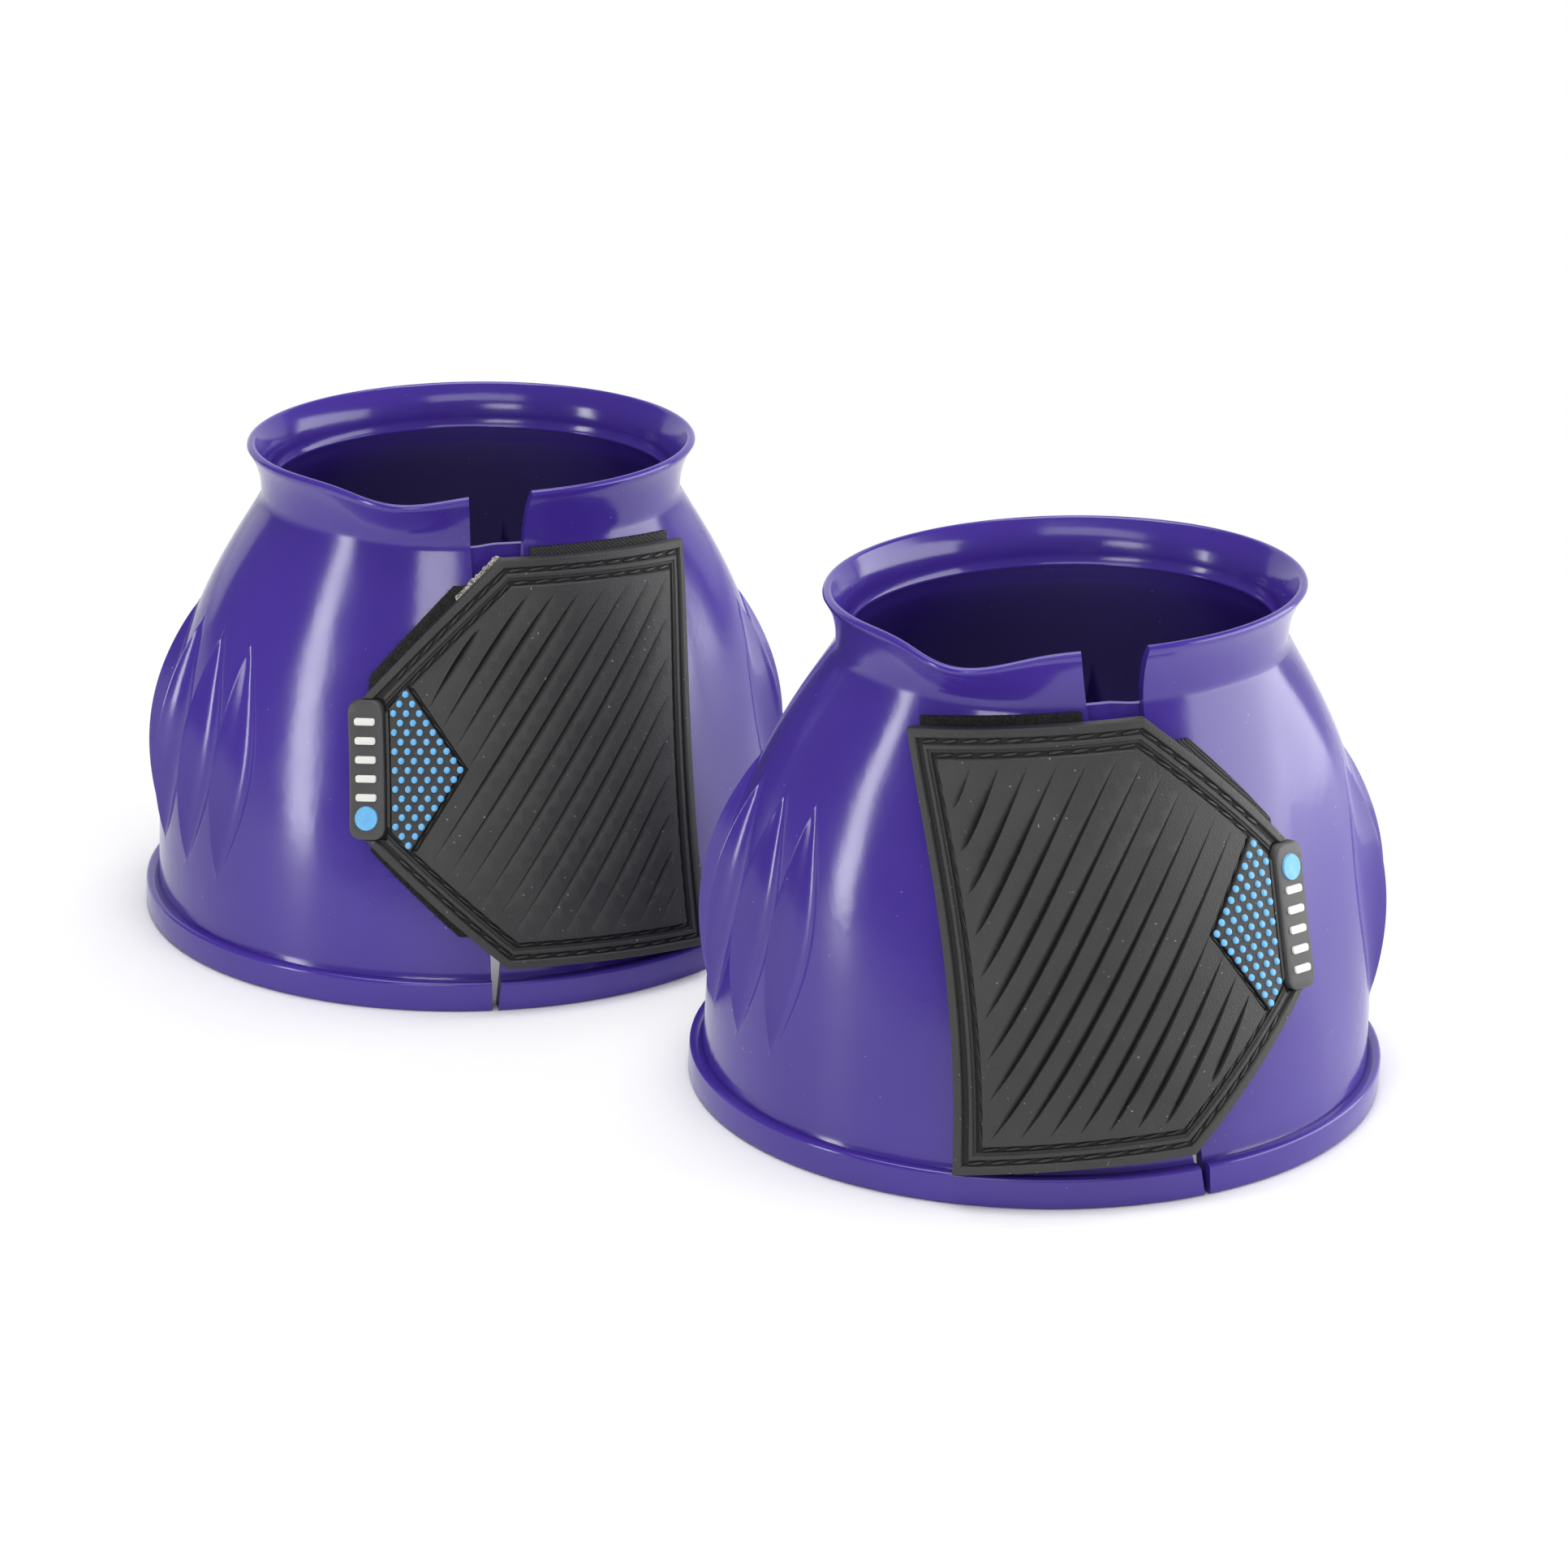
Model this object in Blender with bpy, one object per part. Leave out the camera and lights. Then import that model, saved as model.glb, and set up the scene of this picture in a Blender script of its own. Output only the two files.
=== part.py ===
"""A pair of overreach boots: two PVC bells, each closed by a sewn wrap-round flap.

Each boot is laid out in its own frame: the slit faces -Y, +Z is up and the origin is the middle
of its foot.  Closure pieces are drawn flat, as they are cut, and then laid on the wall:
u runs round the wall from the slit towards the pull tab, w runs up it, and out is the distance
from the outside of the wall.
"""
import math
from types import SimpleNamespace

import bmesh
import bpy
from mathutils import Matrix, Vector

COLLECTION_NAME = "overreach_boots"

# Shell: the sizes of the moulded bell
BOOT_HEIGHT = 0.1295
FOOT_RADIUS = 0.0817
NECK_RADIUS = 0.0556
LIP_HEIGHT = 0.0145
NECK_HEIGHT = BOOT_HEIGHT - LIP_HEIGHT
SHELL_WALL = 0.0028
SWELL_POWER = 3.2
NECK_POWER = 1.15
FLANGE_HEIGHT = 0.0080
FLANGE_PROUD = 0.0034
FLANGE_EDGE = 0.0009
LIP_PROUD = 0.0038
LIP_EDGE = 0.0012
COLLAR_LINE_DROP = 0.0115
COLLAR_LINE_PROUD = 0.0006

# Collar: the round foot eases to an egg that leans towards the slit
COLLAR_DEPTH_SHARE = 0.86
COLLAR_FORWARD = 0.0109
CORNER_PROUD = 0.0042
CORNER_DROP = 0.0022
CORNER_SPREAD = math.radians(15)

# Slit: a narrow V down the front, cut a little round from the middle of the moulding
SLIT_TOP_GAP = 0.0155
SLIT_FOOT_GAP = 0.0014
SLIT_FROM_MIDDLE = math.radians(11)

# The wall behind the flap is drawn nearly straight by it
CLOSURE_FLAT_SHARE = 0.7
CLOSURE_FLAT_ANGLE = math.radians(45)
CLOSURE_FADE_ANGLE = math.radians(80)
CLOSURE_SWELL_POWER = 2.45
CLOSURE_NECK_POWER = 1.22

# Flutes: leaves pressed out of the sides and back, each pointed at its foot and its top
FLUTES_PER_SIDE = 8
FLUTE_FIRST_ANGLE = math.radians(73)
FLUTE_LAST_ANGLE = math.radians(171)
FLUTE_FOOT = 0.0240
FLUTE_TOP = 0.0830
FLUTE_TIP_SPREAD = 0.35
FLUTE_FADE_POWER = 0.8

# The three lines of a flute, its crease, its crest and its rear foot: how far round the wall
# each bows backwards at its widest, and how proud of the wall it stands there
FLUTE_LINES = (
    (math.radians(-1.6), -0.0010),
    (math.radians(6.2), 0.0042),
    (math.radians(8.4), 0.0),
)

# Rings of the wall, as shares of the stretch that they divide, and of how proud the lip is
LIP_RING_SHARES = ((1 / 3, 0.06), (2 / 3, 0.42))
FLUTE_RING_SHARES = (0.0, 0.16, 0.37, 0.60, 0.82, 1.0)
SHOULDER_RING_SHARES = (0.2, 0.42, 0.62, 0.82, 1.0)
INNER_RING_SHARES = (0.94, 0.82, 0.70, 0.56, 0.41, 0.26, 0.12, 0.0)
FRONT_STEP = math.radians(7.5)

# Making: the gap kept between pieces, the run past a cut, and the size of a facet
GAP = 0.0003
OVERRUN = 0.0010
SHEET_FACET_U = 0.0080
SHEET_FACET_W = 0.0140
FACET_LEAST = 0.0010
SNAP_DISTANCE = GAP / 30
MERGE_DISTANCE = GAP / 5
SPIN_SWEEP = math.radians(150)
SHARP_ANGLE = math.radians(35)

# Fastening flap, as it is cut; its foot just clears the flange at the hinge's corner
FLAP_HINGE_U = -0.0578
FLAP_CORNER_U = -0.0028
FLAP_END_U = 0.0338
FLAP_END_HALF_HEIGHT = 0.0165
FLAP_TOP_DROP = 0.0170
FLAP_FOOT_CLEARANCE = 0.0004
FLAP_THICKNESS = 0.0026
FLAP_DROP_RADIUS = 0.4500
FLAP_TOP_W = BOOT_HEIGHT - FLAP_TOP_DROP
FLAP_FOOT_W = FLANGE_HEIGHT + FLAP_FOOT_CLEARANCE + FLAP_HINGE_U ** 2 / (2 * FLAP_DROP_RADIUS)
FLAP_MIDDLE_W = (FLAP_TOP_W + FLAP_FOOT_W) / 2
FLAP_HALF_HEIGHT = (FLAP_TOP_W - FLAP_FOOT_W) / 2
BORDER_BAND = 0.0020
STITCH_CHANNEL = 0.0012
SECOND_BAND = 0.0012
CHANNEL_WALL = 0.0003
CHANNEL_DEPTH = 0.0008

# Ribbed panel on the flap
RIB_ANGLE = math.radians(55)
RIB_PITCH = 0.0054
RIB_COUNT = 18
RIB_FIRST = -0.0204
GROOVE_WIDE = 0.0017
GROOVE_FINE = 0.0003
GROOVE_DEPTH = 0.0011
GROOVE_MARGIN = 0.0016

# Pull tab, a plate on the thin end of the flap
TAB_WIDTH = 0.0095
TAB_OVERHANG = 0.0030
TAB_BEYOND_END = 0.0005
TAB_HALF_HEIGHT = FLAP_END_HALF_HEIGHT + TAB_BEYOND_END
TAB_START_U = FLAP_END_U + TAB_OVERHANG - TAB_WIDTH
TAB_THICKNESS = 0.0021
TAB_CORNER = 0.0030
TAB_CORNER_STEPS = 3
TAB_SEAT = 0.0012

# Dotted inlay, let into the flap beside the pull tab
INLAY_TAB_WALL = 0.0008
INLAY_LENGTH = 0.0180
INLAY_SHOULDER_LENGTH = 0.0048
INLAY_SHOULDER_HALF = 0.0200
INLAY_END_HALF = 0.0150
INLAY_THICKNESS = 0.0010
INLAY_END_U = TAB_START_U - INLAY_TAB_WALL - 2 * GAP
INLAY_SHOULDER_U = INLAY_END_U - INLAY_SHOULDER_LENGTH
INLAY_APEX_U = INLAY_END_U - INLAY_LENGTH

# Hook and loop pieces
PAD_THICKNESS = 0.0011
BACKING_THICKNESS = 0.0009
BACKING_INSET = 0.0012
PAD_TOP_RISE = 0.0016
PAD_FOOT_RISE = 0.0010
PAD_SIDE_INSET = 0.0010
PAD_SLANT_PROUD = 0.0040
PAD_SLIT_MARGIN = 0.0015
POINT_PAD_DROP = 0.0072
POINT_PAD_HALF_HEIGHT = FLAP_HALF_HEIGHT - POINT_PAD_DROP

# Inner tongue behind the slit
TONGUE_THICKNESS = 0.0018
TONGUE_FREE_REACH = 0.0240
TONGUE_SEWN_REACH = 0.0260
TONGUE_FOOT_RISE = 0.0050
TONGUE_TOP_DROP = 0.0160
TONGUE_FOOT_W = FLANGE_HEIGHT + TONGUE_FOOT_RISE
TONGUE_TOP_W = BOOT_HEIGHT - TONGUE_TOP_DROP
TONGUE_STEP_START = 0.0070
TONGUE_STEP_END = -0.0010
TONGUE_PAD_THICKNESS = 0.0009
TONGUE_PAD_MARGIN = 0.0030
TONGUE_COLUMNS = 3

# Colours
PURPLE = (0.085, 0.030, 0.330, 1.0)
BLACK_RUBBER = (0.018, 0.018, 0.019, 1.0)
BLACK_PILE = (0.010, 0.010, 0.011, 1.0)
TAB_GREY = (0.035, 0.036, 0.040, 1.0)


# The pair: how far apart the flanges stand, and which way the left boot lies from the right
PAIR_GAP = 0.0171
PAIR_DIRECTION = math.radians(141.35)
PAIR_MIDDLE_X = -0.00014
PAIR_MIDDLE_Y = 0.00118
PAIR_SPACING = 2 * (FOOT_RADIUS + FLANGE_PROUD) + PAIR_GAP
HALF_PAIR = Vector((math.cos(PAIR_DIRECTION), math.sin(PAIR_DIRECTION), 0)) * PAIR_SPACING / 2
PAIR_MIDDLE = Vector((PAIR_MIDDLE_X, PAIR_MIDDLE_Y, 0))
LEFT_COLLAR_ASIDE = 0.0019

# Each boot's own settled shape: turns are measured round it from the slit's foot, and hand is 1
# where the pull tab lies anticlockwise of the slit
BOOTS = (
    SimpleNamespace(
        side="right",
        hand=1,
        place=PAIR_MIDDLE - HALF_PAIR,
        yaw=math.radians(25.8),
        slit_foot_turn=math.radians(0.8),
        slit_top_turn=math.radians(-13.6),
        closure_turn=math.radians(-4),
        corner_angle=math.radians(-48),
        corner_share=1.45,
        collar_aside=0,
        collar_width_share=1,
    ),
    SimpleNamespace(
        side="left",
        hand=-1,
        place=PAIR_MIDDLE + HALF_PAIR,
        yaw=math.radians(8),
        slit_foot_turn=0,
        slit_top_turn=math.radians(3),
        closure_turn=0,
        corner_angle=math.radians(-22),
        corner_share=1,
        collar_aside=LEFT_COLLAR_ASIDE,
        collar_width_share=0.97,
    ),
)


def clamp(value):
    return max(0.0, min(1.0, value))


def smooth(value):
    value = clamp(value)
    return value * value * (3 - 2 * value)


def swell(height, swell_power=SWELL_POWER, neck_power=NECK_POWER):
    """The round wall: a radius that swells from the neck down to the foot."""
    rise = clamp((height - FLANGE_HEIGHT) / (NECK_HEIGHT - FLANGE_HEIGHT))
    share = (1 - rise ** swell_power) ** neck_power
    return NECK_RADIUS + (FOOT_RADIUS - NECK_RADIUS) * share


def closure_swell(height):
    """The slacker swell that the closure pieces and the slit are cut to."""
    return swell(height, CLOSURE_SWELL_POWER, CLOSURE_NECK_POWER)


def middle_angle(boot, angle):
    """Angle from the middle of the moulding, -180 to 180 degrees, from an angle from the slit."""
    turned = angle + boot.hand * SLIT_FROM_MIDDLE
    return (turned + math.pi) % math.tau - math.pi


def wall_radius(boot, angle, height):
    """Radius of the outside of the wall, drawn nearly straight up and down behind the flap."""
    rise = clamp((height - FLANGE_HEIGHT) / (NECK_HEIGHT - FLANGE_HEIGHT))
    straight = FOOT_RADIUS + (NECK_RADIUS - FOOT_RADIUS) * rise
    beyond = abs(middle_angle(boot, angle)) - CLOSURE_FLAT_ANGLE
    fade = 1 - smooth(beyond / (CLOSURE_FADE_ANGLE - CLOSURE_FLAT_ANGLE))
    return swell(height) + (straight - swell(height)) * CLOSURE_FLAT_SHARE * fade


def wall_point(boot, angle, height, out):
    """A point by its angle from the slit, its height and its distance outside the wall."""
    up = height / BOOT_HEIGHT
    radius = wall_radius(boot, angle, height) + out
    across = radius * (1 - (1 - boot.collar_width_share) * smooth(up))
    along = radius * (1 - (1 - COLLAR_DEPTH_SHARE) * smooth(up))
    near_rim = smooth((height - NECK_HEIGHT) / (BOOT_HEIGHT - NECK_HEIGHT))
    from_corner = (angle - boot.corner_angle + math.pi) % math.tau - math.pi
    corner = boot.corner_share * near_rim * math.exp(-(from_corner / CORNER_SPREAD) ** 2)
    across += CORNER_PROUD * corner
    along += CORNER_PROUD * corner
    return Vector((
        across * math.sin(angle) + boot.collar_aside * up,
        -along * math.cos(angle) - COLLAR_FORWARD * up,
        height - CORNER_DROP * corner,
    ))


def slit_angle(boot, height, share):
    """The slit at a height: share 0 is its middle, -1 and 1 are its two edges."""
    up = height / BOOT_HEIGHT
    half_gap = (SLIT_FOOT_GAP + (SLIT_TOP_GAP - SLIT_FOOT_GAP) * up) / 2
    turn = boot.slit_foot_turn + (boot.slit_top_turn - boot.slit_foot_turn) * up
    return turn + share * half_gap / closure_swell(height)


def laid_height(u, w):
    """Height of a flat-cut point once laid on the cone of the wall, whose straight lines droop."""
    return w - u * u / (2 * FLAP_DROP_RADIUS)


def laid_point(boot, u, w, out):
    """A point of a flat-cut piece, laid on the wall."""
    height = laid_height(u, w)
    turn = boot.closure_turn * height / BOOT_HEIGHT
    return wall_point(boot, turn + boot.hand * u / closure_swell(height), height, out)


def slit_u(boot, w, share):
    """The slit drawn on the flat-cut pieces; share 1 is the edge on the pull tab's side."""
    turn = boot.closure_turn * w / BOOT_HEIGHT
    return boot.hand * (slit_angle(boot, w, share * boot.hand) - turn) * closure_swell(w)


def material(name, colour, roughness):
    made = bpy.data.materials.new(name)
    made.use_nodes = True
    shader = made.node_tree.nodes["Principled BSDF"]
    shader.inputs["Base Color"].default_value = colour
    shader.inputs["Roughness"].default_value = roughness
    shader.inputs["Metallic"].default_value = 0.0
    made.diffuse_color = colour
    return made


def new_object(name, mesh, collection, parent, finish):
    """Turn a bmesh into a shaded object hung from its parent."""
    bmesh.ops.recalc_face_normals(mesh, faces=mesh.faces)
    data = bpy.data.meshes.new(name)
    mesh.to_mesh(data)
    mesh.free()
    data.shade_smooth()
    data.set_sharp_from_angle(angle=SHARP_ANGLE)
    made = bpy.data.objects.new(name, data)
    made.data.materials.append(finish)
    made.parent = parent
    collection.objects.link(made)
    return made


def new_empty(name, collection, parent, matrix):
    made = bpy.data.objects.new(name, None)
    made.empty_display_size = SHELL_WALL
    made.parent = parent
    made.matrix_local = matrix
    collection.objects.link(made)
    return made


def between(low, high, shares):
    return [low + (high - low) * share for share in shares]


def shell_section():
    """The shell's closed section as (height, distance outside the wall), round from the foot."""
    section = [
        (0, FLANGE_PROUD - FLANGE_EDGE),
        (FLANGE_EDGE, FLANGE_PROUD),
        (FLANGE_HEIGHT - FLANGE_EDGE, FLANGE_PROUD),
        (FLANGE_HEIGHT, FLANGE_PROUD - FLANGE_EDGE),
        (FLANGE_HEIGHT, 0),
    ]
    for height in between(FLUTE_FOOT, FLUTE_TOP, FLUTE_RING_SHARES):
        section.append((height, 0))
    for height in between(FLUTE_TOP, NECK_HEIGHT, SHOULDER_RING_SHARES):
        section.append((height, 0))
    for rise_share, proud_share in LIP_RING_SHARES:
        section.append((NECK_HEIGHT + LIP_HEIGHT * rise_share, LIP_PROUD * proud_share))
    section += [
        (BOOT_HEIGHT - LIP_EDGE, LIP_PROUD),
        (BOOT_HEIGHT, LIP_PROUD - LIP_EDGE),
        (BOOT_HEIGHT - LIP_EDGE / 2, LIP_PROUD - 2 * LIP_EDGE),
        (BOOT_HEIGHT - LIP_HEIGHT / 3, LIP_PROUD / 2 - SHELL_WALL),
    ]
    line = BOOT_HEIGHT - COLLAR_LINE_DROP
    section += [
        (line + COLLAR_LINE_PROUD, -SHELL_WALL),
        (line, -SHELL_WALL - COLLAR_LINE_PROUD),
        (line - COLLAR_LINE_PROUD, -SHELL_WALL),
    ]
    for height in between(FLANGE_HEIGHT, NECK_HEIGHT, INNER_RING_SHARES):
        section.append((height, -SHELL_WALL))
    section.append((0, -SHELL_WALL))
    return section


def flute_pitch():
    """Angle from one flute's tips to the next flute's."""
    return (FLUTE_LAST_ANGLE - FLUTE_FIRST_ANGLE) / (FLUTES_PER_SIDE - 1)


def flute_belly(height):
    """How full a flute is at a height: 0 at its two tips and 1 half-way between them."""
    return math.sin(math.pi * clamp((height - FLUTE_FOOT) / (FLUTE_TOP - FLUTE_FOOT)))


def shell_columns(boot):
    """The shell's columns from one slit edge right round to the other: (angle, bow, proud)."""
    side = []
    for number in range(FLUTES_PER_SIDE):
        tip = FLUTE_FIRST_ANGLE + number * flute_pitch()
        side += [(tip, bow, proud) for bow, proud in FLUTE_LINES]
    other_side = [(math.tau - tip, -bow, proud) for tip, bow, proud in reversed(side)]
    round_back = side + [(math.pi, 0, 0)] + other_side
    slit = boot.hand * SLIT_FROM_MIDDLE
    fronts = []
    for start, end in ((slit, FLUTE_FIRST_ANGLE), (math.tau - FLUTE_FIRST_ANGLE, math.tau + slit)):
        steps = math.ceil((end - start) / FRONT_STEP)
        fronts.append([(start + (end - start) * step / steps, 0, 0) for step in range(steps + 1)])
    columns = fronts[0][:-1] + round_back + fronts[1][1:]
    return [(angle - slit, bow, proud) for angle, bow, proud in columns]


def slit_shift(boot, angle, height):
    """Turn a column near the slit so that the shell's two ends lie along the slit's edges."""
    from_slit = min(angle, math.tau - angle)
    share = 1 if angle < math.pi else -1
    reach = FLUTE_FIRST_ANGLE - SLIT_FROM_MIDDLE - flute_pitch()
    return slit_angle(boot, height, share) * (1 - smooth(from_slit / reach))


def make_shell(boot, collection, parent, finish):
    """Spin the section round in equal steps, then ease each column to its place on the bell."""
    columns = shell_columns(boot)
    steps = len(columns) - 1
    step_angle = SPIN_SWEEP / steps
    mesh = bmesh.new()
    ring = [mesh.verts.new((FOOT_RADIUS + out, 0, height)) for height, out in shell_section()]
    face = mesh.faces.new(ring)
    bmesh.ops.spin(mesh, geom=[face] + list(face.edges) + ring, cent=(0, 0, 0), axis=(0, 0, 1),
                   steps=steps, angle=SPIN_SWEEP)
    ends = [face for face in mesh.faces if len(face.verts) > 4]
    bmesh.ops.triangulate(mesh, faces=ends)
    for vert in mesh.verts:
        column = round(math.atan2(vert.co.y, vert.co.x) / step_angle)
        angle, bow, proud = columns[column]
        height = vert.co.z
        belly = flute_belly(height)
        angle += bow * (FLUTE_TIP_SPREAD + (1 - FLUTE_TIP_SPREAD) * belly)
        out = math.hypot(vert.co.x, vert.co.y) - FOOT_RADIUS
        out += proud * belly ** FLUTE_FADE_POWER
        vert.co = wall_point(boot, angle + slit_shift(boot, angle, height), height, out)
    return new_object(f"{boot.side}_shell", mesh, collection, parent, finish)


def facet_lines(low, high, pitch, origin):
    """The lines of one pitch that every layer bends along, so that the layers lie parallel."""
    first = math.ceil((low - origin) / pitch)
    last = math.floor((high - origin) / pitch)
    lines = [origin + number * pitch for number in range(first, last + 1)]
    return [line for line in lines if line - low > FACET_LEAST and high - line > FACET_LEAST]


def bisect_into_facets(mesh):
    """Cut a flat-cut piece along the shared lines, so that it can bend."""
    for axis, pitch, origin in ((0, SHEET_FACET_U, 0), (1, SHEET_FACET_W, FLAP_MIDDLE_W)):
        low = min(vert.co[axis] for vert in mesh.verts)
        high = max(vert.co[axis] for vert in mesh.verts)
        normal = Vector((0, 0, 0))
        normal[axis] = 1
        for line in facet_lines(low, high, pitch, origin):
            geometry = list(mesh.verts) + list(mesh.edges) + list(mesh.faces)
            bmesh.ops.bisect_plane(mesh, geom=geometry, plane_co=normal * line, plane_no=normal,
                                   dist=SNAP_DISTANCE)


def lay_on_wall(boot, mesh, out_at):
    """Lay a flat-cut piece, whose z is its own thickness, on the wall."""
    bisect_into_facets(mesh)
    bmesh.ops.remove_doubles(mesh, verts=mesh.verts, dist=MERGE_DISTANCE)
    bmesh.ops.triangulate(mesh, faces=mesh.faces)
    for vert in mesh.verts:
        u, w, depth = vert.co
        vert.co = laid_point(boot, u, w, out_at(u, w) + depth)


def flat_plate(outline, thickness):
    """A flat-cut plate: its outline in u and w, extruded to its thickness."""
    mesh = bmesh.new()
    face = mesh.faces.new([mesh.verts.new((u, w, 0)) for u, w in outline])
    top = bmesh.ops.extrude_face_region(mesh, geom=[face])["geom"]
    verts = [item for item in top if isinstance(item, bmesh.types.BMVert)]
    bmesh.ops.translate(mesh, verts=verts, vec=(0, 0, thickness))
    bmesh.ops.recalc_face_normals(mesh, faces=mesh.faces)
    return mesh


def make_sheet(name, boot, outline, layer, collection, parent, finish, frame=Matrix()):
    """A plain sheet on the wall: layer is its inner face's distance and its thickness."""
    out, thickness = layer
    mesh = flat_plate(outline, thickness)
    lay_on_wall(boot, mesh, out if callable(out) else lambda u, w: out)
    bmesh.ops.transform(mesh, matrix=frame, verts=mesh.verts)
    return new_object(name, mesh, collection, parent, finish)


def flap_outline(inset=0):
    """The flap: a square-cut hinge side, two slants and a short end under the pull tab."""
    slant = math.atan2(FLAP_HALF_HEIGHT - FLAP_END_HALF_HEIGHT, FLAP_END_U - FLAP_CORNER_U)
    corner_u = FLAP_CORNER_U - inset * math.tan(slant / 2)
    end_half = FLAP_END_HALF_HEIGHT - inset * math.tan((math.pi / 2 - slant) / 2)
    half = FLAP_HALF_HEIGHT - inset
    return [
        (FLAP_HINGE_U + inset, FLAP_MIDDLE_W - half),
        (corner_u, FLAP_MIDDLE_W - half),
        (FLAP_END_U - inset, FLAP_MIDDLE_W - end_half),
        (FLAP_END_U - inset, FLAP_MIDDLE_W + end_half),
        (corner_u, FLAP_MIDDLE_W + half),
        (FLAP_HINGE_U + inset, FLAP_MIDDLE_W + half),
    ]


def inlay_outline(grow=0):
    """The dotted inlay: a point towards the ribs and a broad end at the pull tab."""
    shoulder = INLAY_SHOULDER_HALF + grow
    end = INLAY_END_HALF + grow
    return [
        (INLAY_APEX_U - grow, FLAP_MIDDLE_W),
        (INLAY_SHOULDER_U - grow, FLAP_MIDDLE_W - shoulder),
        (INLAY_END_U + grow, FLAP_MIDDLE_W - end),
        (INLAY_END_U + grow, FLAP_MIDDLE_W + end),
        (INLAY_SHOULDER_U - grow, FLAP_MIDDLE_W + shoulder),
    ]


def border_width():
    return BORDER_BAND + SECOND_BAND + 2 * (STITCH_CHANNEL + 2 * CHANNEL_WALL)


def groove_run(number):
    """Start and end of one tapered groove, clipped to the ribbed panel."""
    along = Vector((math.cos(RIB_ANGLE), math.sin(RIB_ANGLE)))
    across = Vector((-along.y, along.x))
    start = across * (RIB_FIRST + number * RIB_PITCH) + Vector((INLAY_APEX_U, FLAP_MIDDLE_W))
    corners = [Vector(point) for point in flap_outline(border_width() + GROOVE_MARGIN)]
    lowest, highest = -BOOT_HEIGHT, BOOT_HEIGHT
    for corner, following in zip(corners, corners[1:] + corners[:1]):
        edge = following - corner
        inward = Vector((-edge.y, edge.x)).normalized()
        reach = inward.dot(corner - start)
        slope = inward.dot(along)
        if slope > 0:
            lowest = max(lowest, reach / slope)
        elif slope < 0:
            highest = min(highest, reach / slope)
    apex, shoulder = [Vector(point) for point in inlay_outline(GROOVE_MARGIN)[:2]]
    edge = shoulder - apex
    normal = Vector((edge.y, -edge.x))
    meeting = normal.dot(apex - start) / normal.dot(along)
    place = start + along * meeting
    if shoulder.y <= place.y <= apex.y:
        highest = min(highest, meeting)
    return start + along * lowest, start + along * highest


def groove_cutters():
    """Tapered three-sided wedges, wide at the foot of the flap and fine at their tips."""
    cutters = bmesh.new()
    half_share = math.sqrt(3) / 2
    for number in range(RIB_COUNT):
        foot, tip = groove_run(number)
        run = Vector((tip.x - foot.x, tip.y - foot.y, 0))
        if run.y < 2 * GROOVE_WIDE:
            continue
        made = bmesh.ops.create_cone(cutters, cap_ends=True, segments=3, depth=run.length,
                                     radius1=GROOVE_WIDE * half_share,
                                     radius2=GROOVE_FINE * half_share)
        point_down = Matrix.Rotation(math.pi, 4, "Z")
        point_along = run.to_track_quat("Z", "Y").to_matrix().to_4x4()
        deepen = Matrix.Diagonal((1, 1, GROOVE_DEPTH / (GROOVE_WIDE * half_share), 1))
        middle = (foot + tip) / 2
        place = Matrix.Translation((middle.x, middle.y, FLAP_THICKNESS))
        bmesh.ops.transform(cutters, matrix=place @ deepen @ point_along @ point_down,
                            verts=made["verts"])
    return cutters


def cut(mesh, cutter, cutters_collection, name):
    """Cut one bmesh by another with a Boolean modifier, and read the result."""
    objects = []
    for label, source in ((name, mesh), (f"{name}_cutter", cutter)):
        bmesh.ops.recalc_face_normals(source, faces=source.faces)
        data = bpy.data.meshes.new(label)
        source.to_mesh(data)
        source.free()
        made = bpy.data.objects.new(label, data)
        made.hide_render = True
        made.display_type = "WIRE"
        cutters_collection.objects.link(made)
        objects.append(made)
    body, tool = objects
    difference = body.modifiers.new("cut", "BOOLEAN")
    difference.operation = "DIFFERENCE"
    difference.solver = "EXACT"
    difference.object = tool
    bpy.context.view_layer.update()
    evaluated = body.evaluated_get(bpy.context.evaluated_depsgraph_get())
    data = bpy.data.meshes.new_from_object(evaluated)
    result = bmesh.new()
    result.from_mesh(data)
    bpy.data.meshes.remove(data)
    bpy.data.objects.remove(body)
    return result


def flap_layer():
    """Distance of the flap's inner face from the wall, over a pad and its own backing."""
    return 3 * GAP + PAD_THICKNESS + BACKING_THICKNESS


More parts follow.
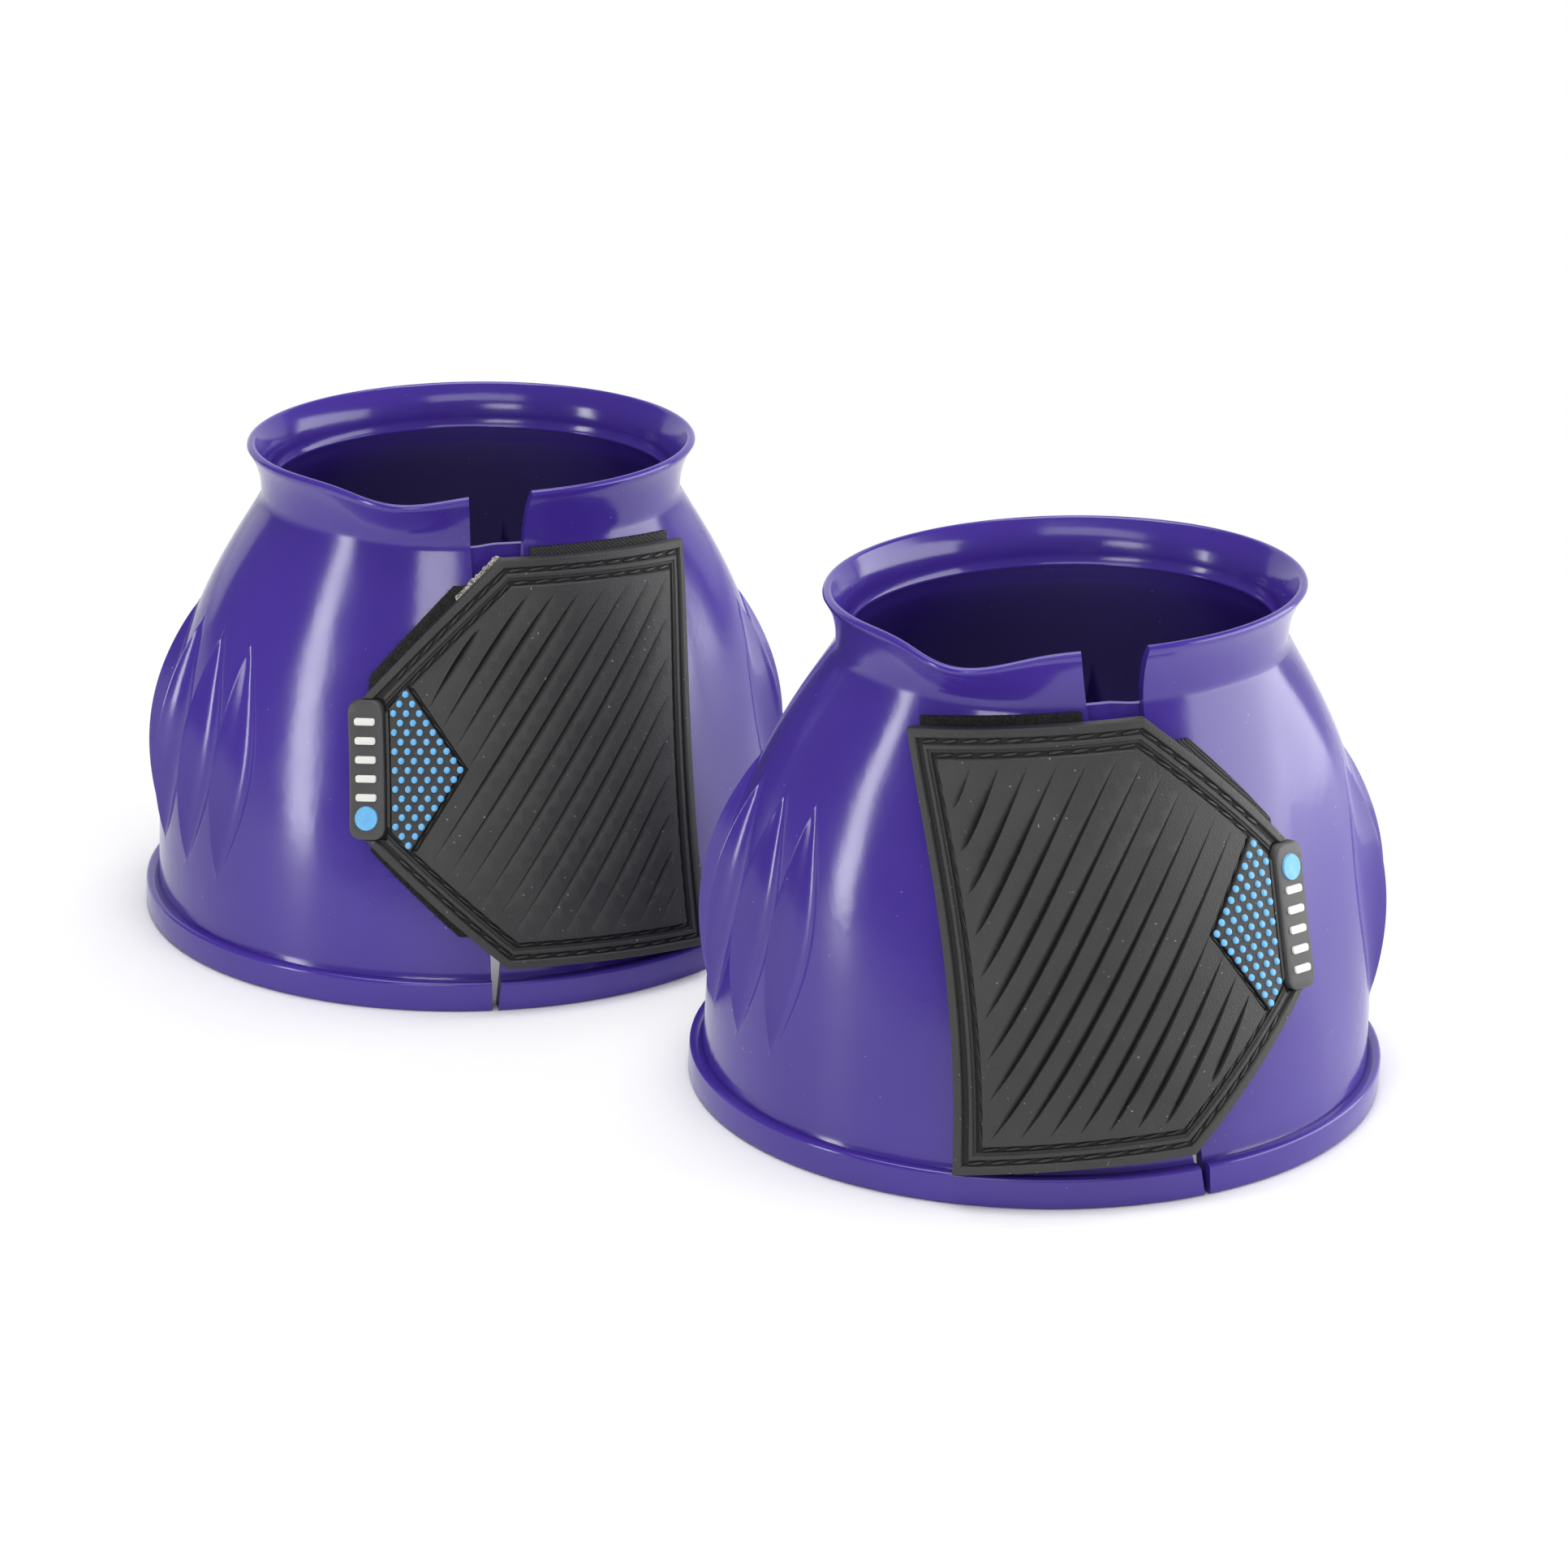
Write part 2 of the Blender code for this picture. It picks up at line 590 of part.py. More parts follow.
def make_flap_panel(boot, collection, cutters_collection, parent, finish, frame):
    """Mould the flap flat: two stitched channels, the tapered ribs and the two seats."""
    mesh = flat_plate(flap_outline(), FLAP_THICKNESS)
    top = max(mesh.faces, key=lambda face: face.calc_center_median().z)
    channel = ((CHANNEL_WALL, -CHANNEL_DEPTH), (STITCH_CHANNEL, 0), (CHANNEL_WALL, CHANNEL_DEPTH))
    for width, depth in ((BORDER_BAND, 0), *channel, (SECOND_BAND, 0), *channel):
        bmesh.ops.inset_region(mesh, faces=[top], thickness=width, depth=depth,
                               use_even_offset=True)
    cutters = groove_cutters()
    seat = flat_plate(inlay_outline(GAP), INLAY_THICKNESS + GAP + OVERRUN)
    bmesh.ops.translate(seat, verts=seat.verts,
                        vec=(0, 0, FLAP_THICKNESS - INLAY_THICKNESS - GAP))
    tab_reach = TAB_HALF_HEIGHT + GAP
    ledge = flat_plate([
        (TAB_START_U - GAP, FLAP_MIDDLE_W - tab_reach),
        (FLAP_END_U + OVERRUN, FLAP_MIDDLE_W - tab_reach),
        (FLAP_END_U + OVERRUN, FLAP_MIDDLE_W + tab_reach),
        (TAB_START_U - GAP, FLAP_MIDDLE_W + tab_reach),
    ], FLAP_THICKNESS + OVERRUN)
    bmesh.ops.translate(ledge, verts=ledge.verts, vec=(0, 0, TAB_SEAT))
    name = f"{boot.side}_flap_panel"
    for label, cutter in (("ribs", cutters), ("seat", seat), ("ledge", ledge)):
        mesh = cut(mesh, cutter, cutters_collection, f"{name}_{label}")
    if boot.hand < 0:
        turn_over(mesh)
    lay_on_wall(boot, mesh, lambda u, w: flap_layer())
    bmesh.ops.transform(mesh, matrix=frame, verts=mesh.verts)
    return new_object(name, mesh, collection, parent, finish)


def turn_over(mesh):
    """Turn a flat-cut piece end for end about the flap's middle line, as on the left boot."""
    for vert in mesh.verts:
        vert.co.y = 2 * FLAP_MIDDLE_W - vert.co.y
    bmesh.ops.reverse_faces(mesh, faces=mesh.faces)


def rounded_plate_outline():
    """The pull tab's outline, with rounded corners."""
    low = (TAB_START_U + TAB_CORNER, FLAP_MIDDLE_W - TAB_HALF_HEIGHT + TAB_CORNER)
    high = (TAB_START_U + TAB_WIDTH - TAB_CORNER, FLAP_MIDDLE_W + TAB_HALF_HEIGHT - TAB_CORNER)
    outline = []
    for quarter, centre in ((2, low), (3, (high[0], low[1])), (4, high), (5, (low[0], high[1]))):
        for step in range(TAB_CORNER_STEPS + 1):
            angle = (quarter + step / TAB_CORNER_STEPS) * math.pi / 2
            outline.append((centre[0] + TAB_CORNER * math.cos(angle),
                            centre[1] + TAB_CORNER * math.sin(angle)))
    return outline


def outline_between(left, right, rows):
    """The outline of a sheet whose two edges are given as u for each w."""
    return [(left(w), w) for w in reversed(rows)] + [(right(w), w) for w in rows]


def make_strip(name, boot, edges, rows, across, layer, collection, parent, finish, frame):
    """A sheet between two edges that are given as u for each w, one column at each share."""
    left, right = edges
    out_at, thickness = layer
    mesh = bmesh.new()
    bmesh.ops.create_grid(mesh, x_segments=len(across) - 1, y_segments=len(rows) - 1, size=1)
    top = bmesh.ops.extrude_face_region(mesh, geom=list(mesh.faces))["geom"]
    raised = {item for item in top if isinstance(item, bmesh.types.BMVert)}
    for vert in mesh.verts:
        column = round((vert.co.x + 1) / 2 * (len(across) - 1))
        row = round((vert.co.y + 1) / 2 * (len(rows) - 1))
        w = rows[row]
        u = left(w) + (right(w) - left(w)) * across[column]
        depth = thickness if vert in raised else 0
        vert.co = laid_point(boot, u, w, out_at(u, w) + depth)
    bmesh.ops.transform(mesh, matrix=frame, verts=mesh.verts)
    return new_object(name, mesh, collection, parent, finish)


def rows_between(low, high, divisions=1):
    """Rows of a strip: its two ends and the shared lines between them, divided if it slants."""
    return [low] + facet_lines(low, high, SHEET_FACET_W / divisions, FLAP_MIDDLE_W) + [high]


def shares(count):
    return [step / count for step in range(count + 1)]


def slant_u(w):
    """Where the flap's outline lies at a height, on the pull tab's side."""
    run_share = (FLAP_END_U - FLAP_CORNER_U) / (FLAP_HALF_HEIGHT - FLAP_END_HALF_HEIGHT)
    below_corner = FLAP_HALF_HEIGHT - abs(w - FLAP_MIDDLE_W)
    return min(FLAP_END_U, FLAP_CORNER_U + below_corner * run_share)


def make_shell_pads(boot, collection, parent, finishes):
    """The hook and loop pads sewn to the shell, outside and inside."""

    def inside(u, w):
        return -SHELL_WALL - GAP - PAD_THICKNESS

    def hinge_edge(w):
        return FLAP_HINGE_U + PAD_SIDE_INSET

    def slit_edge(w):
        return slit_u(boot, w, -1) - PAD_SLIT_MARGIN

    def far_slit_edge(w):
        return slit_u(boot, w, 1) + PAD_SLIT_MARGIN

    def proud_slant(w):
        return min(FLAP_END_U - PAD_SIDE_INSET, slant_u(w) + PAD_SLANT_PROUD)

    def inner_edge(w):
        return slit_u(boot, w, 0) - TONGUE_FREE_REACH - PAD_SIDE_INSET

    pile, weave = finishes
    outside = (GAP, PAD_THICKNESS)
    rows = rows_between(FLAP_FOOT_W + PAD_FOOT_RISE, FLAP_TOP_W + PAD_TOP_RISE)
    make_sheet(f"{boot.side}_hinge_side_pad", boot, outline_between(hinge_edge, slit_edge, rows),
               outside, collection, parent, pile)
    rows = rows_between(FLAP_MIDDLE_W - POINT_PAD_HALF_HEIGHT,
                        FLAP_MIDDLE_W + POINT_PAD_HALF_HEIGHT, 2)
    make_sheet(f"{boot.side}_point_side_pad", boot,
               outline_between(far_slit_edge, proud_slant, rows), outside, collection, parent, weave)
    rows = rows_between(TONGUE_FOOT_W + PAD_SIDE_INSET, TONGUE_TOP_W - PAD_SIDE_INSET)
    make_strip(f"{boot.side}_inner_loop_pad", boot, (inner_edge, slit_edge), rows,
               shares(TONGUE_COLUMNS), (inside, PAD_THICKNESS), collection, parent, pile, Matrix())


def tongue_layer(boot, u, w):
    """The tongue lies on the shell where it is sewn, and steps in past the slit to clear the pads."""
    from_slit = u - slit_u(boot, w, 0)
    stepped = smooth((TONGUE_STEP_START - from_slit) / (TONGUE_STEP_START - TONGUE_STEP_END))
    sewn = -SHELL_WALL - GAP - TONGUE_THICKNESS
    step_in = PAD_THICKNESS + TONGUE_PAD_THICKNESS + 2 * GAP
    return sewn - step_in * stepped


def make_tongue(boot, collection, parent, finishes, frame):
    """The inner tongue and its hook pad, which closes on the pad inside the other end."""

    def free_edge(w):
        return slit_u(boot, w, 0) - TONGUE_FREE_REACH

    def sewn_edge(w):
        return slit_u(boot, w, 0) + TONGUE_SEWN_REACH

    def pad_edge(w):
        return slit_u(boot, w, 0) - TONGUE_FREE_REACH + TONGUE_PAD_MARGIN

    def pad_slit_edge(w):
        return slit_u(boot, w, -1) - PAD_SLIT_MARGIN

    def pad_layer(u, w):
        return -SHELL_WALL - 2 * GAP - PAD_THICKNESS - TONGUE_PAD_THICKNESS

    reach = TONGUE_FREE_REACH + TONGUE_SEWN_REACH
    step_shares = [(TONGUE_FREE_REACH + place) / reach
                   for place in between(TONGUE_STEP_END, TONGUE_STEP_START,
                                        shares(TONGUE_COLUMNS))]
    across = (between(0, step_shares[0], shares(TONGUE_COLUMNS)) + step_shares[1:]
              + between(step_shares[-1], 1, shares(TONGUE_COLUMNS))[1:])
    rows = rows_between(TONGUE_FOOT_W, TONGUE_TOP_W)
    leaf, hooks = finishes
    make_strip(f"{boot.side}_tongue", boot, (free_edge, sewn_edge), rows, across,
               (lambda u, w: tongue_layer(boot, u, w), TONGUE_THICKNESS), collection, parent, leaf,
               frame)
    pad_rows = rows_between(TONGUE_FOOT_W + TONGUE_PAD_MARGIN, TONGUE_TOP_W - TONGUE_PAD_MARGIN)
    make_strip(f"{boot.side}_tongue_hook_pad", boot, (pad_edge, pad_slit_edge), pad_rows,
               shares(TONGUE_COLUMNS), (pad_layer, TONGUE_PAD_THICKNESS), collection, parent, hooks, frame)


def hinge_line(boot, u_at, out):
    """Two points of a sewn edge, low and high, on the line that the piece turns about."""
    low_w, high_w, edge_u = u_at
    return laid_point(boot, edge_u(low_w), low_w, out), laid_point(boot, edge_u(high_w), high_w, out)


def hinge_matrix(low, high, hand):
    """A frame at the middle of the line, whose Z runs along it so that opening is positive."""
    axis = (low - high if hand > 0 else high - low).normalized()
    turn = axis.to_track_quat("Z", "Y").to_matrix().to_4x4()
    return Matrix.Translation((low + high) / 2) @ turn


def flap_hinge(boot):
    low, high = hinge_line(boot, (FLAP_FOOT_W, FLAP_TOP_W, lambda w: FLAP_HINGE_U),
                           flap_layer() + FLAP_THICKNESS)
    return hinge_matrix(low, high, boot.hand)


def tongue_hinge(boot):
    low, high = hinge_line(boot, (TONGUE_FOOT_W, TONGUE_TOP_W,
                                  lambda w: slit_u(boot, w, 0) + TONGUE_SEWN_REACH),
                           -SHELL_WALL - GAP)
    return hinge_matrix(low, high, boot.hand)


def make_flap(boot, collection, cutters_collection, parent, finishes, frame):
    """The flap with its backing, its dotted inlay and its pull tab."""
    rubber, hooks, grey = finishes
    make_flap_panel(boot, collection, cutters_collection, parent, rubber, frame)
    backing = (2 * GAP + PAD_THICKNESS, BACKING_THICKNESS)
    make_sheet(f"{boot.side}_flap_backing", boot, flap_outline(BACKING_INSET), backing,
               collection, parent, hooks, frame)
    inlay = (flap_layer() + FLAP_THICKNESS - INLAY_THICKNESS, INLAY_THICKNESS)
    make_sheet(f"{boot.side}_dot_inlay", boot, inlay_outline(), inlay, collection, parent, rubber,
               frame)
    tab = (flap_layer() + TAB_SEAT + GAP, TAB_THICKNESS)
    make_sheet(f"{boot.side}_pull_tab", boot, rounded_plate_outline(), tab, collection, parent,
               grey, frame)


def build():
    for stale in list(bpy.data.objects):
        bpy.data.objects.remove(stale)
    collection = bpy.data.collections.new(COLLECTION_NAME)
    cutters_collection = bpy.data.collections.new("cutters")
    bpy.context.scene.collection.children.link(collection)
    bpy.context.scene.collection.children.link(cutters_collection)
    pvc = material("purple_pvc", PURPLE, 0.22)
    rubber = material("black_rubber", BLACK_RUBBER, 0.55)
    pile = material("black_loop_pile", BLACK_PILE, 0.95)
    hooks = material("black_hook_tape", BLACK_PILE, 0.80)
    grey = material("grey_tab_rubber", TAB_GREY, 0.50)
    for boot in BOOTS:
        place = new_empty(f"{boot.side}_boot_place", collection, None,
                          Matrix.Translation(boot.place) @ Matrix.Rotation(boot.yaw, 4, "Z"))
        make_shell(boot, collection, place, pvc)
        make_shell_pads(boot, collection, place, (pile, hooks))
        line = tongue_hinge(boot)
        turning = new_empty(f"{boot.side}_tongue_hinge", collection, place, line)
        make_tongue(boot, collection, turning, (pvc, hooks), line.inverted())
        line = flap_hinge(boot)
        turning = new_empty(f"{boot.side}_flap_hinge", collection, place, line)
        make_flap(boot, collection, cutters_collection, turning, (rubber, hooks, grey),
                  line.inverted())


build()
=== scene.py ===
# %% [markdown]
# A pair of overreach boots, dressed for a studio picture.
#
# An overreach boot is a bell of soft PVC that goes round a horse's pastern and covers the heel.
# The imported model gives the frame: where every part lies and how the flaps and tongues turn.
# Its solids are faceted.  They could be kept and only coloured, but glossy PVC shows every facet,
# so each of them is replaced by a finer piece that is drawn from the same few sizes.

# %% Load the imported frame
import math
import random
from types import SimpleNamespace

import bmesh
import bpy
from mathutils import Matrix, Vector


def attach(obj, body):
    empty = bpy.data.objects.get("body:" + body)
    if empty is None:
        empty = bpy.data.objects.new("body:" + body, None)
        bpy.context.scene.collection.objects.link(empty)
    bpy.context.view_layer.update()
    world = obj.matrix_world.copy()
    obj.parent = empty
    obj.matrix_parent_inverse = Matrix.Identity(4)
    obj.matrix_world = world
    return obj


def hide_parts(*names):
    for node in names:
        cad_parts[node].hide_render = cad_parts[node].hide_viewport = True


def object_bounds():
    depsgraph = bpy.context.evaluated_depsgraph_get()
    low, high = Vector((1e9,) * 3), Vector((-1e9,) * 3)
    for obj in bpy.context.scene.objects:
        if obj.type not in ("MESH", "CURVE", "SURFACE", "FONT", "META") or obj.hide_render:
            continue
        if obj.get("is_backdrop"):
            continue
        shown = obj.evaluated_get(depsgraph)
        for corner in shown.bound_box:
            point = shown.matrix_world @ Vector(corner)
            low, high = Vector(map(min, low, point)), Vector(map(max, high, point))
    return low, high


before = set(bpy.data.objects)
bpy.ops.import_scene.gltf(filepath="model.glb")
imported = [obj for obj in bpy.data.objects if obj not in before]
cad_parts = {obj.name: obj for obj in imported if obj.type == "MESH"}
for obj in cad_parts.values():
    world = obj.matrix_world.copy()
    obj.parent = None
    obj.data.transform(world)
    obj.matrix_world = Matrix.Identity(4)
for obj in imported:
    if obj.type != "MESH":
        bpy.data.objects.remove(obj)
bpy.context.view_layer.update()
print("packed nodes:", len(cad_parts))

# %% [markdown]
# Sizes.  The boots are laid out as a maker would: a bell from foot to collar, a slit down its
# front, and closure pieces that are cut flat and then laid on the bell.  On a flat-cut piece u
# runs round the bell from the slit towards the pull tab and w runs up it.  Every length could be
# typed where it is used, but one list of named sizes keeps the pieces in step.

# %% Driving sizes, in metres
BOOT_HEIGHT = 0.1295
FOOT_RADIUS = 0.0817
NECK_RADIUS = 0.0556
LIP_HEIGHT = 0.0145
NECK_HEIGHT = BOOT_HEIGHT - LIP_HEIGHT
SHELL_WALL = 0.0028
SWELL_POWER = 3.2
NECK_POWER = 1.15
FLANGE_HEIGHT = 0.0080
FLANGE_PROUD = 0.0034
LIP_PROUD = 0.0038
COLLAR_LINE_DROP = 0.0115
COLLAR_DEPTH_SHARE = 0.86
COLLAR_FORWARD = 0.0109
CORNER_PROUD = 0.0042
CORNER_DROP = 0.0022
CORNER_SPREAD = math.radians(15)
SLIT_TOP_GAP = 0.0155
SLIT_FOOT_GAP = 0.0014
SLIT_FROM_MIDDLE = math.radians(11)
SLIT_SETTLES_BEFORE = math.radians(12)
CLOSURE_FLAT_SHARE = 0.7
CLOSURE_FLAT_ANGLE = math.radians(45)
CLOSURE_FADE_LEFT = math.radians(110)
CLOSURE_FADE_RIGHT = math.radians(80)
CLOSURE_SWELL_POWER = 2.45
CLOSURE_NECK_POWER = 1.22
FLUTE_DEGREES = (71, 82, 94.5, 108.5, 124, 140, 156, 172)
FLUTE_ANGLES = tuple(math.radians(angle) for angle in FLUTE_DEGREES)
FLUTE_LEAN = math.radians(2)
FLUTE_FOOT = 0.0240
FLUTE_TOP = 0.0830
print("flange across, mm:", round(2000 * (FOOT_RADIUS + FLANGE_PROUD), 1))

# %% The pair: where each boot stands and how it has settled
GAP = 0.0003
PAIR_GAP = 0.0171
PAIR_SPACING = 2 * (FOOT_RADIUS + FLANGE_PROUD) + PAIR_GAP
PAIR_DIRECTION = math.radians(141.35)
PAIR_MIDDLE = Vector((-0.00014, 0.00118, 0))
HALF_PAIR = Vector((math.cos(PAIR_DIRECTION), math.sin(PAIR_DIRECTION), 0)) * PAIR_SPACING / 2
RIGHT = SimpleNamespace(
    side="right", hand=1, place=PAIR_MIDDLE - HALF_PAIR, yaw=math.radians(25.8),
    slit_foot_turn=math.radians(0.8), slit_top_turn=math.radians(-13.6),
    closure_turn=math.radians(-4), corner_angle=math.radians(-48), corner_share=1.45,
    collar_aside=0, collar_width_share=1,
)
LEFT = SimpleNamespace(
    side="left", hand=-1, place=PAIR_MIDDLE + HALF_PAIR, yaw=math.radians(8),
    slit_foot_turn=0, slit_top_turn=math.radians(3),
    closure_turn=0, corner_angle=math.radians(-22), corner_share=1,
    collar_aside=0.0019, collar_width_share=0.97,
)
BOOTS = (RIGHT, LEFT)
for boot in BOOTS:
    boot.matrix = Matrix.Translation(boot.place) @ Matrix.Rotation(boot.yaw, 4, "Z")
    print(boot.side, "boot stands at, mm:", [round(1000 * value, 1) for value in boot.place])


# %% [markdown]
# The bell's wall.  A soft bell is round at the back, drawn flat behind the flap and oval at the
# collar.  It could be sculpted by hand, but then nothing else could be laid on it neatly.  So one
# function gives the outside radius at an angle and a height, and everything that lies on the
# bell goes through it and stays parallel to the PVC.

# %% Wall functions
def clamp(value):
    return max(0.0, min(1.0, value))


def smooth(value):
    value = clamp(value)
    return value * value * (3 - 2 * value)


def swell(height, swell_power=SWELL_POWER, neck_power=NECK_POWER):
    """Radius of the round bell: slow to draw in at first, then quick over the shoulder."""
    rise = clamp((height - FLANGE_HEIGHT) / (NECK_HEIGHT - FLANGE_HEIGHT))
    return NECK_RADIUS + (FOOT_RADIUS - NECK_RADIUS) * (1 - rise ** swell_power) ** neck_power


def closure_swell(height):
    """The slacker swell that the closure pieces and the slit are cut to."""
    return swell(height, CLOSURE_SWELL_POWER, CLOSURE_NECK_POWER)


def middle_angle(boot, angle):
    """Angle from the middle of the flap's flat, between minus and plus half a turn."""
    turned = angle + boot.hand * SLIT_FROM_MIDDLE
    return (turned + math.pi) % math.tau - math.pi


def wall_radius(boot, angle, height):
    rise = clamp((height - FLANGE_HEIGHT) / (NECK_HEIGHT - FLANGE_HEIGHT))
    straight = FOOT_RADIUS + (NECK_RADIUS - FOOT_RADIUS) * rise
    from_middle = middle_angle(boot, angle)
    fade_angle = CLOSURE_FADE_RIGHT if from_middle > 0 else CLOSURE_FADE_LEFT
    beyond = abs(from_middle) - CLOSURE_FLAT_ANGLE
    fade = 1 - smooth(beyond / (fade_angle - CLOSURE_FLAT_ANGLE))
    round_wall = swell(height)
    return round_wall + (straight - round_wall) * CLOSURE_FLAT_SHARE * fade


def wall_point(boot, angle, height, out):
    """A point at a distance outside the wall, with the collar oval, leaning and pinched."""
    up = height / BOOT_HEIGHT
    radius = wall_radius(boot, angle, height) + out
    across = radius * (1 - (1 - boot.collar_width_share) * smooth(up))
    along = radius * (1 - (1 - COLLAR_DEPTH_SHARE) * smooth(up))
    near_rim = smooth((height - NECK_HEIGHT) / (BOOT_HEIGHT - NECK_HEIGHT))
    from_corner = (angle - boot.corner_angle + math.pi) % math.tau - math.pi
    corner = boot.corner_share * near_rim * math.exp(-(from_corner / CORNER_SPREAD) ** 2)
    across += CORNER_PROUD * corner
    along += CORNER_PROUD * corner
    return Vector((
        across * math.sin(angle) + boot.collar_aside * up,
        -along * math.cos(angle) - COLLAR_FORWARD * up,
        height - CORNER_DROP * corner,
    ))


for boot in BOOTS:
    half_way = [wall_radius(boot, angle, BOOT_HEIGHT / 2) for angle in (0, math.pi)]
    print(boot.side, "wall's radius half-way up, front and back, mm:",
          [round(1000 * radius, 1) for radius in half_way])


# %% From flat work to the wall
FLAP_DROP_RADIUS = 0.4500


def slit_angle(boot, height, share):
    """Angle of the slit: share is -1 at one edge, 0 down its middle and 1 at the other edge."""
    up = height / BOOT_HEIGHT
    half_gap = (SLIT_FOOT_GAP + (SLIT_TOP_GAP - SLIT_FOOT_GAP) * up) / 2
    turn = boot.slit_foot_turn + (boot.slit_top_turn - boot.slit_foot_turn) * up
    return turn + share * half_gap / closure_swell(height)


def laid_point(boot, u, w, out):
    """Where a point of a flat-cut piece comes to lie when the piece is laid on the bell."""
    height = w - u * u / (2 * FLAP_DROP_RADIUS)
    turn = boot.closure_turn * height / BOOT_HEIGHT
    return wall_point(boot, turn + boot.hand * u / closure_swell(height), height, out)


def slit_u(boot, w, share):
    turn = boot.closure_turn * w / BOOT_HEIGHT
    return boot.hand * (slit_angle(boot, w, share * boot.hand) - turn) * closure_swell(w)


# %% [markdown]
# Materials are small networks of nodes.  They could be wired link by link, but shader maths
# reads best as ordinary sums.  So a small class wraps a node's socket and turns Python operators
# into Math nodes, and one function adds every kind of node from its type, settings and sockets.

# %% Socket wrapper
class Wire:
    """A node socket that can be added, subtracted and multiplied like a number."""

    def __init__(self, tree, socket):
        self.tree = tree
        self.socket = socket

    def math(self, operation, other=None, third=None):
        return add_node(self.tree, "ShaderNodeMath", {"operation": operation},
                        {0: self, 1: other, 2: third})[0]

    def __add__(self, other):
        return self.math("ADD", other)

    __radd__ = __add__

    def __sub__(self, other):
        return self.math("SUBTRACT", other)

    def __rsub__(self, other):
        return self.math("MULTIPLY_ADD", -1.0, other)

    def __mul__(self, other):
        return self.math("MULTIPLY", other)

    __rmul__ = __mul__

    def clamped(self):
        return add_node(self.tree, "ShaderNodeClamp", {}, {"Value": self})[0]

    def ramp(self, low, high):
        """0 below low, 1 above high, and an even slope between."""
        return add_node(self.tree, "ShaderNodeMapRange", {"clamp": True},
                        {"Value": self, "From Min": low, "From Max": high})[0]


def add_node(tree, kind, settings, inputs):
    """Add a node, set it, feed its sockets, and return its outputs as wires."""
    node = tree.nodes.new(kind)
    for name, value in settings.items():
        setattr(node, name, value)
    for key, value in inputs.items():
        if isinstance(value, Wire):
            tree.links.new(value.socket, node.inputs[key])
        elif value is not None:
            node.inputs[key].default_value = value
    return [Wire(tree, output) for output in node.outputs]


def named_output(tree, kind, settings, inputs, name):
    for wire in add_node(tree, kind, settings, inputs):
        if wire.socket.name == name and wire.socket.enabled:
            return wire
    raise KeyError(name)


# %% Finish helpers
def new_finish(name, colour, roughness, **fixed):
    """A material whose Principled shader starts from plain values; returns it with its tree."""
    finish = bpy.data.materials.new(name)
    finish.use_nodes = True
    shader = finish.node_tree.nodes["Principled BSDF"]
    shader.inputs["Base Color"].default_value = (*colour, 1)
    shader.inputs["Roughness"].default_value = roughness
    for key, value in fixed.items():
        shader.inputs[key.replace("_", " ")].default_value = value
    return finish, finish.node_tree, shader


def object_place(tree):
    return named_output(tree, "ShaderNodeTexCoord", {}, {}, "Object")


def mottle(tree, place, scale, detail=3.0):
    """Soft random shade from 0 to 1 at a real scale: scale is in ripples per metre."""
    return named_output(tree, "ShaderNodeTexNoise", {},
                        {"Vector": place, "Scale": scale, "Detail": detail}, "Fac")


def blend_colours(tree, factor, first, second):
    """A Mix node of colours; its sockets 0, 6 and 7 are the factor and the two colours."""
    ends = [colour if isinstance(colour, Wire) else (*colour, 1) for colour in (first, second)]
    return add_node(tree, "ShaderNodeMix", {"data_type": "RGBA"},
                    {0: factor, 6: ends[0], 7: ends[1]})[2]


def feed(shader, name, wire):
    wire.tree.links.new(wire.socket, shader.inputs[name])


def raise_bumps(shader, *layers):
    """Chain Bump nodes: each layer is a height wire and its depth in metres."""
    normal = None
    for height, depth in layers:
        normal = named_output(height.tree, "ShaderNodeBump", {},
                              {"Height": height, "Distance": depth, "Strength": 1.0,
                               "Normal": normal}, "Normal")
    feed(shader, "Normal", normal)


# %% [markdown]
# Purple PVC.  The real shell comes glossy from its mould but is never quite even: the mould
# leaves a faint orange peel, and handling leaves dull smears and dust.  A photograph wrapped on
# the bell could show that from one side only.  Noise on Object coordinates, at real scales,
# holds from every side and on every piece.

# %% Purple PVC
PURPLE = (0.056, 0.028, 0.285)
PURPLE_DEEP = (0.046, 0.022, 0.235)
DUST_ON_PURPLE = (0.55, 0.52, 0.68)
pvc, tree, shader = new_finish("purple_pvc", PURPLE, 0.2, IOR=1.5)
place = object_place(tree)
broad = mottle(tree, place, 14.0)
smears = mottle(tree, place, 45.0, 4.0)
peel = mottle(tree, place, 420.0, 2.0)
specks = mottle(tree, place, 900.0, 1.0)
dust = specks.ramp(0.80, 0.83)
tone = blend_colours(tree, broad.ramp(0.35, 0.7), PURPLE, PURPLE_DEEP)
feed(shader, "Base Color", blend_colours(tree, dust * 0.35, tone, DUST_ON_PURPLE))
feed(shader, "Roughness", smears.ramp(0.35, 0.75) * 0.06 + 0.13 + dust * 0.3)
raise_bumps(shader, (broad, 0.0005), (peel, 0.00002))
print("purple PVC nodes:", len(tree.nodes))
